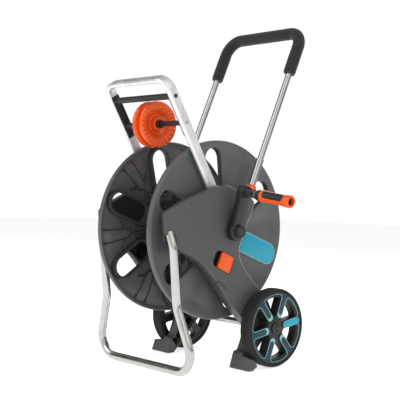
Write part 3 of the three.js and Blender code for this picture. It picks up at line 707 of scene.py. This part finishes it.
def bored(shell):
    """Opens the way for the handle's tube through the top wall of a plate."""
    beside = along_handle(HANDLE_X if shell.name.endswith("right") else -HANDLE_X)
    drill = bmesh.new()
    turned(drill, [(BORE_LOW, 0), (BORE_LOW, TUBE_BORE), (BORE_HIGH, TUBE_BORE), (BORE_HIGH, 0)], beside, 40)
    bmesh.ops.remove_doubles(drill, verts=drill.verts, dist=WELD)
    bmesh.ops.recalc_face_normals(drill, faces=drill.faces)
    mesh = bpy.data.meshes.new("drill")
    drill.to_mesh(mesh)
    drill.free()
    mesh.transform(TO_ROW_FRAME)
    tool = bpy.data.objects.new("drill", mesh)
    scene.collection.objects.link(tool)
    cut = shell.modifiers.new("bore", "BOOLEAN")
    cut.operation, cut.solver, cut.object = "DIFFERENCE", "EXACT", tool
    bpy.context.view_layer.update()
    shell.data = bpy.data.meshes.new_from_object(shell.evaluated_get(bpy.context.evaluated_depsgraph_get()))
    shell.modifiers.clear()
    bpy.data.objects.remove(tool)
    bpy.data.meshes.remove(mesh)


# ---- tilted planes ----
def on_handle(x, s, out=0.0):
    lean = radians(HANDLE_TILT)
    return Vector((x, HANDLE_Y + sin(lean) * s + cos(lean) * out, AXIS_Z + cos(lean) * s - sin(lean) * out))


def on_guide(x, s, out=0.0):
    lean = radians(GUIDE_TILT)
    return Vector((x, GUIDE_Y - sin(lean) * s + cos(lean) * out, AXIS_Z + cos(lean) * s + sin(lean) * out))


def u_path(place, x, bottom, top, bend, steps):
    """Up one leg of a U, across and down the other."""
    return bent([place(x, bottom), place(x, top), place(-x, top), place(-x, bottom)], [bend, bend], steps)


# ---- leg stand ----
def stand_point(x, z):
    return Vector((x, STAND_Y + STAND_LEAN * z, z))


def leg_stand():
    half = [(131, 354), (STAND_X, 318), (STAND_X, 172), (198, STAND_RADIUS)]
    corners = [stand_point(x, z) for x, z in half] + [stand_point(-x, z) for x, z in reversed(half)]
    bm = bmesh.new()
    path = divided(bent(corners, [60, 70, 50, 50, 70, 60], 10), 12)
    pipe(bm, path, STAND_RADIUS, STAND_WALL, (0, 1, -STAND_LEAN))
    piece("stand_tube", bm, "frame", CHROME, "leg_stand")


# ---- hose guide ----
def oval(width, thick, steps=8):
    """A flat oval section, wide across the bend's plane."""
    flat = width / 2 - thick / 2
    right = [Vector((flat, 0)) + p for p in circle(thick / 2, steps, -90, 180)]
    left = [Vector((-flat, 0)) + p for p in circle(thick / 2, steps, 90, 180)]
    return right + left


def guide_inserts(face):
    """Ribbed black rails inside the guide's legs, with a boss for each bar."""
    def leaned(co):
        return on_guide(co.x, co.z, co.y)

    bm = bmesh.new()
    box(bm, face - 1.6, face + 1.2, -12.5, 12.5, 278, 398, 1.2, leaned)
    for offset in (-9.5, 9.5):
        box(bm, face - 4, face - 1, offset - 1.3, offset + 1.3, 281, 395, 0.5, leaned)
    for k in range(9):
        height = 286 + 13 * k
        box(bm, face - 3.4, face - 1, -10, 10, height - 0.7, height + 0.7, 0.3, leaned)
    for at in (ROD_AT, BAR_AT):
        box(bm, face - 4.2, face - 1, -11, 11, at - 12, at + 12, 1.4, leaned)
    pair("guide_block", bm, BLACK, "guide_insert")


def hose_guide():
    bm = bmesh.new()
    path = divided(u_path(on_guide, GUIDE_X, GUIDE_BOTTOM, GUIDE_TOP, GUIDE_BEND, 16), 16)
    swept(bm, path, oval(GUIDE_WIDTH, GUIDE_THICK), on_guide(0, 0, 1) - on_guide(0, 0, 0))
    piece("guide_bow", bm, "frame", ALUMINIUM, "guide_frame")
    face, outside = GUIDE_X - GUIDE_THICK / 2, GUIDE_X + GUIDE_THICK / 2
    guide_inserts(face)

    # the crossbar is grooved between its two plain ends
    bm = bmesh.new()
    bar, rod = on_guide(0, BAR_AT), on_guide(0, ROD_AT)
    reach = face - 4.0
    loops = []
    for x in (-reach, -reach + 5, -reach + 6, reach - 6, reach - 5, reach):
        plain = abs(x) > reach - 5.5
        for_point = [1.0 if plain or k % 4 else 0.93 for k in range(48)]
        section = circle(9.6 if plain else 8, 48)
        loops.append([Vector((x, bar.y + p.x * f, bar.z + p.y * f)) for p, f in zip(section, for_point)])
    loft(bm, loops)
    piece("guide_bar_moulding", bm, "frame", BLACK, "guide_crossbar")

    bm = lathe([(-reach, 0, 0), (-reach, 8.6, 0.5), (-reach + 5.4, 8.6, 0.8), (-reach + 6, 6.5, 0.3),
                (reach - 6, 6.5, 0.3), (reach - 5.4, 8.6, 0.8), (reach, 8.6, 0.5), (reach, 0, 0)],
               about_x(rod.y, rod.z), 40)
    piece("guide_rod_moulding", bm, "frame", BLACK, "guide_rod")
    bm = lathe([(outside - 0.5, 5.2, 0), (outside + 1.4, 5.2, 0.8), (outside + 2, 3.6, 0.6),
                (outside + 1.2, 2.6, 0.3), (outside + 0.9, 0, 0)], about_x(bar.y, bar.z), 40, 4)
    pair("guide_screw_head", bm, BLACK, "crossbar_screw")
    bm = lathe([(outside - 0.5, 3.5, 0), (outside + 2.6, 3.5, 1.4), (outside + 3.5, 0, 0)],
               about_x(rod.y, rod.z), 32, 6)
    pair("guide_pin_head", bm, STEEL, "guide_rod_pin")
    bm = bmesh.new()
    ring_piece(bm, 6.9, 10.4, -27, 27, about_x(rod.y, rod.z), 0.8)
    piece("roller_sleeve", bm, "roller_carriage", BLACK, "roller_bush")
    guide_roller(rod)


def guide_roller(line):
    """A V pulley with two bulging, deeply dished cheeks, each gathered into curling folds."""
    half = [(0, 37, 0), (3, 42, 3), (8, 57, 7), (15, 59.4, 6), (21, 56, 6), (22.8, 48.5, 6),
            (19.5, 38, 6), (9.5, 30, 6), (5, 23, 3), (8, 18.6, 2), (17.8, 17.6, 1.2), (17.8, 10.9, 0.4)]
    right = rounded(half, 7, closed=False)
    left = [Vector((-p.x, p.y)) for p in reversed(right)]
    bm = bmesh.new()
    turned(bm, left + right[1:], about_x(line.y, line.z), ROLLER_FOLDS * 12, ring=True)
    for vert in bm.verts:
        y, z = vert.co.y - line.y, vert.co.z - line.z
        radius = hypot(y, z)
        face = clamped((abs(vert.co.x) - 7) / 6)
        reach = clamped((radius - 21) / 8) * clamped((59.2 - radius) / 6) * face
        fold = abs(sin(ROLLER_FOLDS / 2 * atan2(z, y) + radius / 34))
        vert.co.x *= 1 - 0.13 * reach * (1 - fold) ** 2
    piece("roller_pulley", bm, "roller", GLOSSY_ORANGE, "guide_roller", 60)


# ---- telescopic handle ----
def along_handle(x):
    return lambda along, a, b: on_handle(x + a, along, b)


def telescopic_handle():
    beside = along_handle(HANDLE_X)
    upright = on_handle(0, 0, 1) - on_handle(0, 0, 0)
    bm = lathe([(SLEEVE_LOW, SLEEVE_INNER, 0.3), (SLEEVE_HIGH, SLEEVE_INNER, 0.3),
                (SLEEVE_HIGH, SLEEVE_OUTER, 0.5), (SLEEVE_LOW, SLEEVE_OUTER, 0.5)], beside, 40, 3, True)
    pair("handle_outer_tube", bm, SHADED_HANDLE_CHROME, "handle_sleeve")
    bm = lathe([(103, 10.1, 0.3), (127, 10.1, 0.3), (127, 12.6, 1), (122, 15, 2), (105, 15, 1), (103, 14, 1)],
               beside, 40, 4, True)
    pair("handle_orange_collar", bm, ORANGE, "sleeve_collar")
    bm = bmesh.new()
    path = divided(u_path(on_handle, HANDLE_X, HANDLE_BOTTOM, HANDLE_TOP, HANDLE_BEND, 16), 14)
    pipe(bm, path, TUBE_RADIUS, TUBE_WALL, upright)
    piece("handle_bow", bm, "handle", SHADED_HANDLE_CHROME, "handle_tube")
    bm = lathe([(131, 0, 0), (131, 7.4, 1), (142.7, 7.8, 1), (142.7, 0, 0)], beside, 32)
    pair("handle_guide_plug", bm, BLACK, "handle_glide", ("handle", "handle"))

    # the foam is never quite even, and its ends are rounded
    bm = bmesh.new()
    path = divided(u_path(on_handle, HANDLE_X, FOAM_START, HANDLE_TOP, HANDLE_BEND, 20), 5)
    length = [0.0]
    for one, two in zip(path, path[1:]):
        length.append(length[-1] + (two - one).length)
    scales = []
    for at in length:
        rounding = 1 - 0.10 * max(0.0, 1 - min(at, length[-1] - at) / 5) ** 2
        scales.append(rounding * (1 + 0.006 * sin(at / 17) + 0.005 * sin(at / 6.1)) * FOAM_FIT)
    swept(bm, path, circle(FOAM_RADIUS, 48), upright, scales)
    foam = piece("handle_foam_pad", bm, "handle", FOAM, "handle_foam", 50)

    # each latch is a paddle with a raised border
    def latch(co):
        lean = Matrix.Rotation(radians(-HANDLE_TILT), 2) @ Vector((co.y, co.z))
        return Vector((co.x, LOCK_Y + lean.x, LOCK_Z + lean.y))

    bm = bmesh.new()
    box(bm, LOCK_BACK, LOCK_FRONT - 1, -LOCK_LONG, LOCK_LONG, -LOCK_HIGH, LOCK_HIGH, 1.4, latch)
    border = rounded([(a * LOCK_LONG, b * LOCK_HIGH, 3) for a, b in SQUARE], 5)
    placed_slab(bm, latch, border, LOCK_FRONT - 3, LOCK_FRONT, 0.7, [moved_in(border, 2.6)])
    pair("latch_paddle", bm, ORANGE, "handle_lock", ("lock_right", "lock_left"))


# ---- drum ----
def drum_point(x, p):
    return Vector((x, p.x, AXIS_Z + p.y))


def web_offset(angle, slots):
    """How many degrees an angle lies from the middle line of its web."""
    turns = sorted(slot % 360 for slot in slots)
    for low, high in zip(turns, turns[1:] + turns[:1]):
        span, at = (high - low) % 360, (angle - low) % 360
        if at <= span:
            return at - span / 2
    return 0.0


def outer_relief(y, z, slots):
    """The flange's outer face: swells towards the rim and falls into a valley between slots."""
    radius = hypot(y, z - AXIS_Z)
    offset = web_offset(degrees(atan2(z - AXIS_Z, y)), slots)
    rim = 3.2 * max(0.0, (radius - 186) / 34) ** 2
    reach = clamped((radius - 70) / 90) * clamped((218 - radius) / 20)
    return min(rim, 3.2) - reach * 5.5 * exp(-(offset / 9) ** 2)


def web_ribs(bm, slots):
    """Thin ribs on the inner face: a narrow U in each web with its stem, links to the collars, and rays."""
    half = ((-2.8, 2.4), (1.6, 1.5), (2.6, 0.8))
    section = [Vector(p) for p in half] + [Vector((a, -b)) for a, b in reversed(half)]

    def rib(points):
        swept(bm, [drum_point(WEB_IN - 2.3, p) for p in points], section, (-1, 0, 0))

    for slot in slots:
        turns = [other - slot for other in slots if 20 < (other - slot) % 360 < 90]
        turn = Matrix.Rotation(radians(slot + (turns[0] % 360) / 2), 2)

        def at(radius, across):
            return turn @ Vector((radius, across))

        arc = [at(146 - 13 * cos(radians(a)), 13 * sin(radians(a))) for a in range(-90, 91, 15)]
        rib([at(216, -18)] + arc + [at(216, 18)])
        rib([at(134, 0), at(74, 0)])
        for side in (-1, 1):
            rib([at(150, 13 * side), at(162, 34 * side)])
            rib([at(120, 0), at(104, 22 * side)])
            rib([at(74, 9 * side), at(98, 12 * side)])


def flange(side, slots):
    """A pierced web with a dished outer face, a heavy rim and a hub, and the ribs on its inner face, dark
    grey as painted shade.
    """
    open_slots = [s for s in slots if not (side == "right" and s == PANEL_ANGLE)]
    shapes = [slot_outline(SLOT_WIDTH, SLOT_INNER, SLOT_OUTER, angle, 14) for angle in open_slots]
    bm = bmesh.new()
    edge = circle(RIM_INNER + 2, 144)
    bore = circle(SHAFT_BORE, 40)
    for x, lip in ((WEB_OUT, -3.5), (WEB_IN, -COLLAR_WIDE)):
        filled(bm, edge, [bore] + [moved_in(s, lip) for s in shapes], x, drum_point)
    bmesh.ops.remove_doubles(bm, verts=bm.verts, dist=WELD)
    # the slot's edge is dished on the outer face and runs on as a deep collar inside
    walls = [(WEB_OUT, -3.5), (WEB_OUT - 0.5, -2.2), (WEB_OUT - 1.6, -0.8), (WEB_OUT - 3.2, 0),
             (WEB_IN - 1, 0.2)]
    for shape in shapes:
        walled(bm, shape, walls, drum_point)
    grid_cut(bm, 6)
    for vert in bm.verts:
        x, y, z = vert.co
        if x >= WEB_IN:
            vert.co.x += outer_relief(y, z, slots)
    rim = [(RIM_BACK, FLANGE_RADIUS, 3), (RIM_FRONT, FLANGE_RADIUS, 7), (RIM_FRONT - 0.3, RIM_INNER + 1, 3),
           (WEB_IN + 1, RIM_INNER - 2, 1), (WEB_IN + 0.5, RIM_INNER + 6, 2),
           (RIM_BACK, FLANGE_RADIUS - 5, 1.5)]
    turned(bm, rounded(rim, 6), DRUM_AXIS, 180, ring=True)
    hub = [(WEB_OUT, SHAFT_BORE, 1), (WEB_OUT + 1.5, 20, 2), (WEB_OUT, 40, 4), (WEB_IN, 40, 1),
           (WEB_IN, 23, 1), (80, 22, 1), (80, SHAFT_BORE, 1)]
    turned(bm, rounded(hub, 4), DRUM_AXIS, 72, ring=True)
    left = side == "left"
    piece(f"flange_moulding_{side}", bm, "drum", DRUM_GREY, f"flange_{side}", 30, left)

    # the collars and ribs on the inner face are dark grey: painted shade
    bm = bmesh.new()
    collar = [(WEB_IN + 0.6, 0.2), (COLLAR_BACK + 1, 0.8), (COLLAR_BACK + 0.2, 0.3), (COLLAR_BACK, -0.6),
              (COLLAR_BACK, -3.6), (COLLAR_BACK + 0.6, -4.6), (WEB_IN + 0.6, -COLLAR_WIDE - 0.2)]
    for shape in shapes:
        walled(bm, shape, collar, drum_point, True)
    web_ribs(bm, slots)
    for vert in bm.verts:
        vert.co.x += min(0.0, outer_relief(vert.co.y, vert.co.z, slots))
    piece(f"flange_rib_{side}", bm, "drum", DARK_GREY_AND_PAINTED_SHADE, None, 30, left)


def drum_middle():
    """The barrel, ringed and ribbed, and the coloured panel that closes one slot of the right flange."""
    profile = [(-CORE_END, 67, 0), (-CORE_END, CORE_RADIUS, 0.5)]
    for k in range(-7, 8):
        x = k * 12.6
        profile += [(x - 1.6, CORE_RADIUS, 0.4), (x - 1.2, 72.5, 0.4), (x + 1.2, 72.5, 0.4),
                    (x + 1.6, CORE_RADIUS, 0.4)]
    profile += [(CORE_END, CORE_RADIUS, 0.5), (CORE_END, 67, 0)]
    bm = lathe(profile, DRUM_AXIS, 96, 2, True)
    for k in range(24):
        turn = Matrix.Rotation(radians(15 * k), 2)
        corners = [turn @ Vector(p) for p in ((69, -1.1), (72.3, -0.8), (72.3, 0.8), (69, 1.1))]
        loft(bm, [[drum_point(x, p) for p in corners] for x in (-CORE_END, CORE_END)])
    piece("drum_barrel", bm, "drum", BLACK, "drum_core")

    outline = [p + Vector((0, AXIS_Z)) for p in slot_outline(57, 70, 219, PANEL_ANGLE, 16)]
    bm = bmesh.new()
    slab(bm, outline, WEB_OUT - 1, WEB_OUT + 3.4, 1.2)
    piece("flange_colour_panel", bm, "drum", TURQUOISE, "flange_panel")
    bm = bmesh.new()
    slab(bm, moved_in(outline, -0.6), WEB_OUT, WEB_OUT + 4.1, 0.5, holes=[moved_in(outline, 1.8)])
    piece("flange_panel_border", bm, "drum", PALE_TURQUOISE)


# ---- wheels ----
def wheel_point(x, p):
    return Vector((x, WHEEL_Y + p.x, WHEEL_Z + p.y))


def on_wheel(points):
    return [p + Vector((WHEEL_Y, WHEEL_Z)) for p in points]


def at_angle(radius, angle):
    return Vector((radius * cos(angle), radius * sin(angle)))


def curve(start, corner, end):
    """Six points round a corner."""
    return [start * (1 - t) ** 2 + corner * 2 * t * (1 - t) + end * t * t for t in (s / 5 for s in range(6))]


def window_outline(low, high, angle, reach):
    """The wedge between two fingers, with rounded corners."""
    def at(radius, sign):
        return at_angle(radius, sign * (radians(30) - asin(FINGER_HALF / radius)))

    limit = degrees(radians(30) - asin(FINGER_HALF / high))
    arc = [(*at_angle(high, radians(limit * 0.62 * k / 2)), 8) for k in (-2, -1, 0, 1, 2)]
    corners = [(*at(low, -1), reach * 0.7), (*at(high, -1), reach)] + arc
    corners += [(*at(high, 1), reach), (*at(low, 1), reach * 0.7)]
    turn = Matrix.Rotation(radians(angle), 2)
    return [turn @ p for p in rounded(corners, 7)]


def finger_line():
    """One closed line round all the windows' outer arcs, down the fingers' sides and round their tips."""
    outer, half, steps = LINE_OUTER, LINE_HALF, 10
    gap = degrees(asin((half + 9) / outer))
    points = []
    for k in range(6):
        finger = FINGER_PHASE + 60 * k
        turn = Matrix.Rotation(radians(finger), 2)
        points += curve(turn @ at_angle(outer, radians(-gap)), turn @ Vector((outer - 3, -half)),
                        turn @ Vector((outer - 13, -half)))
        points += [turn @ (Vector((LINE_TIP, 0)) - q) for q in circle(half, 14, 90, -180)]
        points += curve(turn @ Vector((outer - 13, half)), turn @ Vector((outer - 3, half)),
                        turn @ at_angle(outer, radians(gap)))
        sweep = 60 - 2 * gap
        points += [at_angle(outer, radians(finger + gap + sweep * s / steps)) for s in range(1, steps)]
    return points


def tread():
    """The tyre, with a line round its side and four grooves round its tread."""
    side = [(0, WHEEL_RIM + 0.3, 0.4), (0, 96, 0.5), (0.8, 96.6, 0.5), (0, 97.2, 0.5), (1.5, 101, 2),
            (6, WHEEL_RADIUS, 2)]
    profile = [(WHEEL_INNER + x, radius, reach) for x, radius, reach in side]
    for k in range(4):
        groove = WHEEL_INNER + 8.2 + 5.4 * k
        steps = ((0, 0), (0.5, 1.2), (1.1, 1.2), (1.6, 0))
        profile += [(groove + x, WHEEL_RADIUS - deep, 0.3) for x, deep in steps]
    profile += [(WHEEL_OUTER - x, radius, reach) for x, radius, reach in reversed(side)]
    return lathe(profile, WHEEL_AXIS, 144, 3, True)


def wheel_face():
    """Rim channel, hub and the pierced web, with each finger a raised panel that hangs in from the rim."""
    low, high = WHEEL_INNER, WHEEL_OUTER
    rim = [(low + 3, WHEEL_RIM, 0.5), (high - 0.6, WHEEL_RIM, 0.8), (high - 1.4, 86.5, 1.5),
           (high - 4, 84, 1), (high - 5, 83.5, 1), (low + 3, 83.5, 0.5)]
    bm = lathe(rim, WHEEL_AXIS, 120, 4, True)
    hub = [(low + 4, 6.3, 0.5), (high - 8, 6.3, 0.5), (high - 3.2, 14, 0.5), (high - 2.6, 21, 2),
           (high - 6, 27, 4), (high - 16, 28, 2), (low + 4, 17, 1)]
    turned(bm, rounded(hub, 4), WHEEL_AXIS, 72, ring=True)
    windows = [window_outline(31, 80, FINGER_PHASE + 30 + 60 * k, 7) for k in range(6)]
    back, front = high - 29, high - 4.6
    layers = [(back, 0.6), (back + 0.6, 0), (front - 1.2, 0), (front - 0.4, -0.4), (front, -1.4)]
    for window in windows:
        walled(bm, window, layers, wheel_point)
    edge, bore = circle(84.5, 120), circle(12, 40)
    for x, inset in ((front, -1.4), (back, 0.6)):
        filled(bm, edge, [bore] + [moved_in(w, inset) for w in windows], x, wheel_point)
    for k in range(6):
        finger = slot_outline(2 * 8.2, 28.8, 91.5, FINGER_PHASE + 60 * k, 12)
        slab(bm, on_wheel(finger), front - 1, high - 1.9, 0.9)
    return bm


def wheels():
    both = ("wheel_right", "wheel_left")
    high = WHEEL_OUTER
    pair("wheel_tread", tread(), TYRE, "tyre", both, 30)
    pair("wheel_face", wheel_face(), BLACK, "wheel_disc", both, 30)

    bm = bmesh.new()
    ring_piece(bm, 88.4, 91.2, high - 3, high - 0.5, WHEEL_AXIS, 0.4, 120)
    for k in range(1, 6):
        skin = slot_outline(2 * 7.9, 30, 91, FINGER_PHASE + 60 * k, 12)
        slab(bm, on_wheel(skin), high - 4, high - 1.7, 0.8)
    pair("wheel_finger_skin", bm, DARK_TEAL, None, both)

    # the line is widened to a crescent round each finger's tip
    bm = bmesh.new()
    path = [wheel_point(high - 1.7, p) for p in finger_line()]
    swept(bm, path, circle(LINE_RADIUS, 8), (1, 0, 0), ring=True)
    for k in range(1, 6):
        turn = Matrix.Rotation(radians(FINGER_PHASE + 60 * k), 2)
        tip = [(LINE_TIP + LINE_HALF * cos(radians(a)), LINE_HALF * sin(radians(a)))
               for a in range(90, 271, 12)]
        inner = [(41 + 5.6 * cos(radians(a)), 5.6 * sin(radians(a))) for a in range(270, 89, -12)]
        slab(bm, on_wheel([turn @ Vector(p) for p in tip + inner]), high - 3, high - 1.2, 0.3)
    pair("wheel_colour_line", bm, PALE_TURQUOISE, None, both, 40)

    bm = bmesh.new()
    slab(bm, on_wheel(slot_outline(16.4, 29.5, 90, FINGER_PHASE, 14)), high - 3, high - 0.9, 0.8)
    pair("wheel_finger_panel", bm, TURQUOISE, "wheel_panel", both)

    bm = bmesh.new()
    holes = [on_wheel([Vector((p.x, p.y + dy)) for p in circle(2.3, 20)]) for dy in (-7, 7)]
    slab(bm, on_wheel(circle(15.5, 56)), high - 2.9, high - 0.1, 0.9, holes=holes)
    button(bm, 15, high - 3.2, high - 2.4, WHEEL_AXIS, 0.3)
    pair("wheel_hub_cap", bm, BLACK, "hub_cap", both)

    bm = lathe([(-190.5, 0, 0), (-190.5, 6, 1), (-157, 6, 0), (-157, AXLE_RADIUS, 1), (157, AXLE_RADIUS, 1),
                (157, 6, 0), (190.5, 6, 1), (190.5, 0, 0)], WHEEL_AXIS, 40)
    piece("axle_tube", bm, "frame", CHROME, "wheel_axle")
    bm = bmesh.new()
    ring_piece(bm, 6.3, 10, 185.8, 187, WHEEL_AXIS, 0.3)
    pair("axle_washer", bm, STEEL, "axle_clip")


# ---- crank ----
def crank_point(s, y, h):
    lean = radians(CRANK_LEAN)
    return Vector((CRANK_BASE + sin(lean) * h + cos(lean) * s, y, AXIS_Z + cos(lean) * h - sin(lean) * s))


def along_grip(along, a, b):
    return crank_point(along, a, CRANK_LENGTH + b)


def crank_outline(bm, corners, y0, y1, edge):
    """Adds a shape in the crank's own plane (s, h), made solid across it."""
    placed_slab(bm, lambda co: crank_point(co.y, co.x, co.z), rounded(corners, 6), y0, y1, edge)


def crank_arm():
    bm = lathe([(157.2, 0, 0), (157.2, 22.5, 1), (160, 24, 1.5), (174, 24, 2), (177, 21.5, 1.5),
                (177.4, 16.6, 1), (185, 16.2, 0.8), (185, 0, 0)], DRUM_AXIS, 72, 5)
    # a deep arm that leans outwards, with a round top end and two ears that hold the grip
    arm = [(-20, 4, 2), (20, 4, 2), (17, 40, 20), (15, 75, 20), (16.5, 118, 15), (-16.5, 118, 15),
           (-15, 75, 20), (-17, 40, 20)]
    placed_slab(bm, lambda co: crank_point(co.x + 0.13 * (co.z - 50), co.y, co.z),
                rounded(arm, 8), -11, 9.5, 2.6)
    ear = [(0, 88, 4), (26, 89, 8), (43, 92, 9), (43, 110, 9), (24, 111, 8), (0, 112, 4)]
    for y0, y1 in ((-13, -7), (7, 13)):
        crank_outline(bm, ear, y0, y1, 1.2)
    crank_outline(bm, [(0, 89, 2), (20.5, 90, 2), (20.5, 110, 2), (0, 111, 2)], -8, 8, 1)
    piece("crank_lever", bm, "drum", BLACK, "crank_arm")

    bm = lathe([(185.1, 0, 0), (185.1, 15, 0.5), (188.6, 15, 1.2), (188.6, 11.6, 0.8), (187, 10.8, 0.5),
                (187, 0, 0)], DRUM_AXIS, 56, 4)
    piece("crank_cap_ring", bm, "drum", BLACK)
    bm = bmesh.new()
    button(bm, 10.4, 186.4, 188, DRUM_AXIS, 1.2)
    piece("crank_cap_centre", bm, "drum", DARK_GREY_AND_PAINTED_SHADE, "crank_cap")
    bm = lathe([(-12.8, 0, 0), (-12.8, 3, 0.6), (12.8, 3, 0.6), (12.8, 0, 0)],
               lambda along, a, b: crank_point(CRANK_PIVOT + a, along, CRANK_LENGTH + b), 28)
    piece("grip_hinge_pin", bm, "drum", STEEL, "pivot_pin")


def crank_grip():
    bm = bmesh.new()
    crank_outline(bm, [(24.5, 91.5, 7), (50, 91, 3), (50, 109, 3), (24.5, 108.5, 7)], -6.6, 6.6, 1.2)
    taper = [(44, 0, 0), (44, 9.6, 2), (50, 11, 2), (56, 11.2, 1), (56, 0, 0)]
    turned(bm, rounded(taper, 4, False), along_grip, 48)
    piece("grip_grey_neck", bm, "crank_neck", DRUM_GREY, "grip_neck")
    bm = lathe([(56.3, 4.3, 0.3), (56.3, 11.5, 1), (59, 14, 1.5), (69.7, 14, 0.8), (69.7, 4.3, 0.3)],
               along_grip, 56, 4, True)
    piece("grip_black_collar", bm, "crank_neck", BLACK, "grip_collar")
    bm = lathe([(47, 0, 0), (47, 4, 0.5), (154, 4, 1), (154, 0, 0)], along_grip, 24)
    piece("grip_core_spindle", bm, "crank_neck", STEEL, "grip_spindle")

    bm = lathe([(70, 4.6, 0.3), (70, 13.6, 1.5), (71.5, 15.5, 2), (77, 15.5, 4), (90, 13.9, 10),
                (140, 13.9, 12), (156, 15.4, 6), (165, 15.5, 3), (168, 14, 1.5), (168, 10.2, 1),
                (157, 9.2, 1), (156, 4.6, 0.3)], along_grip, 72, 6, True)
    piece("grip_orange_shell", bm, "crank_grip", ORANGE, "grip_shell")
    bm = lathe([(158.5, 4.8, 0.2), (160.5, 4.8, 0.4), (160.5, 9.4, 0.3), (158.5, 9.2, 0.2)],
               along_grip, 48, 3, True)
    piece("grip_end_plug", bm, "crank_grip", BLACK)

    # the inlay follows the grip's waist and stands a little proud of it
    inlay = spaced(rounded([(GRIP_MIDDLE + a * INLAY_END, b * INLAY_SIDE, 8) for a, b in SQUARE], 8), 6)
    rows = []
    for inset, lift in ((0, -2.0), (0, 0.2), (0.5, 0.7), (1.6, 1.0), (4.5, 1.15)):
        row = []
        for p in moved_in(inlay, inset):
            radius = 14.0 + 1.75 * clamped((abs(p.x - GRIP_MIDDLE) - 26) / 12) + lift
            around = Matrix.Rotation(radians(INLAY_TURN), 2) @ Vector((p.y, (radius ** 2 - p.y ** 2) ** 0.5))
            row.append(along_grip(p.x, around.x, around.y))
        rows.append(row)
    bm = bmesh.new()
    loft(bm, rows)
    piece("grip_black_inlay", bm, "crank_grip", BLACK, "grip_inlay", 40)


make_camera()
make_studio()
side_plates()
leg_stand()
hose_guide()
telescopic_handle()
flange("right", RIGHT_SLOTS)
flange("left", LEFT_SLOTS)
drum_middle()
wheels()
crank_arm()
crank_grip()

# ---- carried-over CAD nodes ----
KEPT = {
    "tie_rod_1": STEEL, "tie_rod_2": STEEL, "tie_rod_3": STEEL, "crank_shaft": STEEL, "inlet_journal": BLACK,
    "outlet_elbow": BLACK, "outlet_nut": BLACK, "inlet_elbow": BLACK, "inlet_collar": ORANGE,
    "drum_bush_right": BLACK, "drum_bush_left": BLACK,
}
for node, material in KEPT.items():
    for material_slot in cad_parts[node].material_slots:
        material_slot.material = material
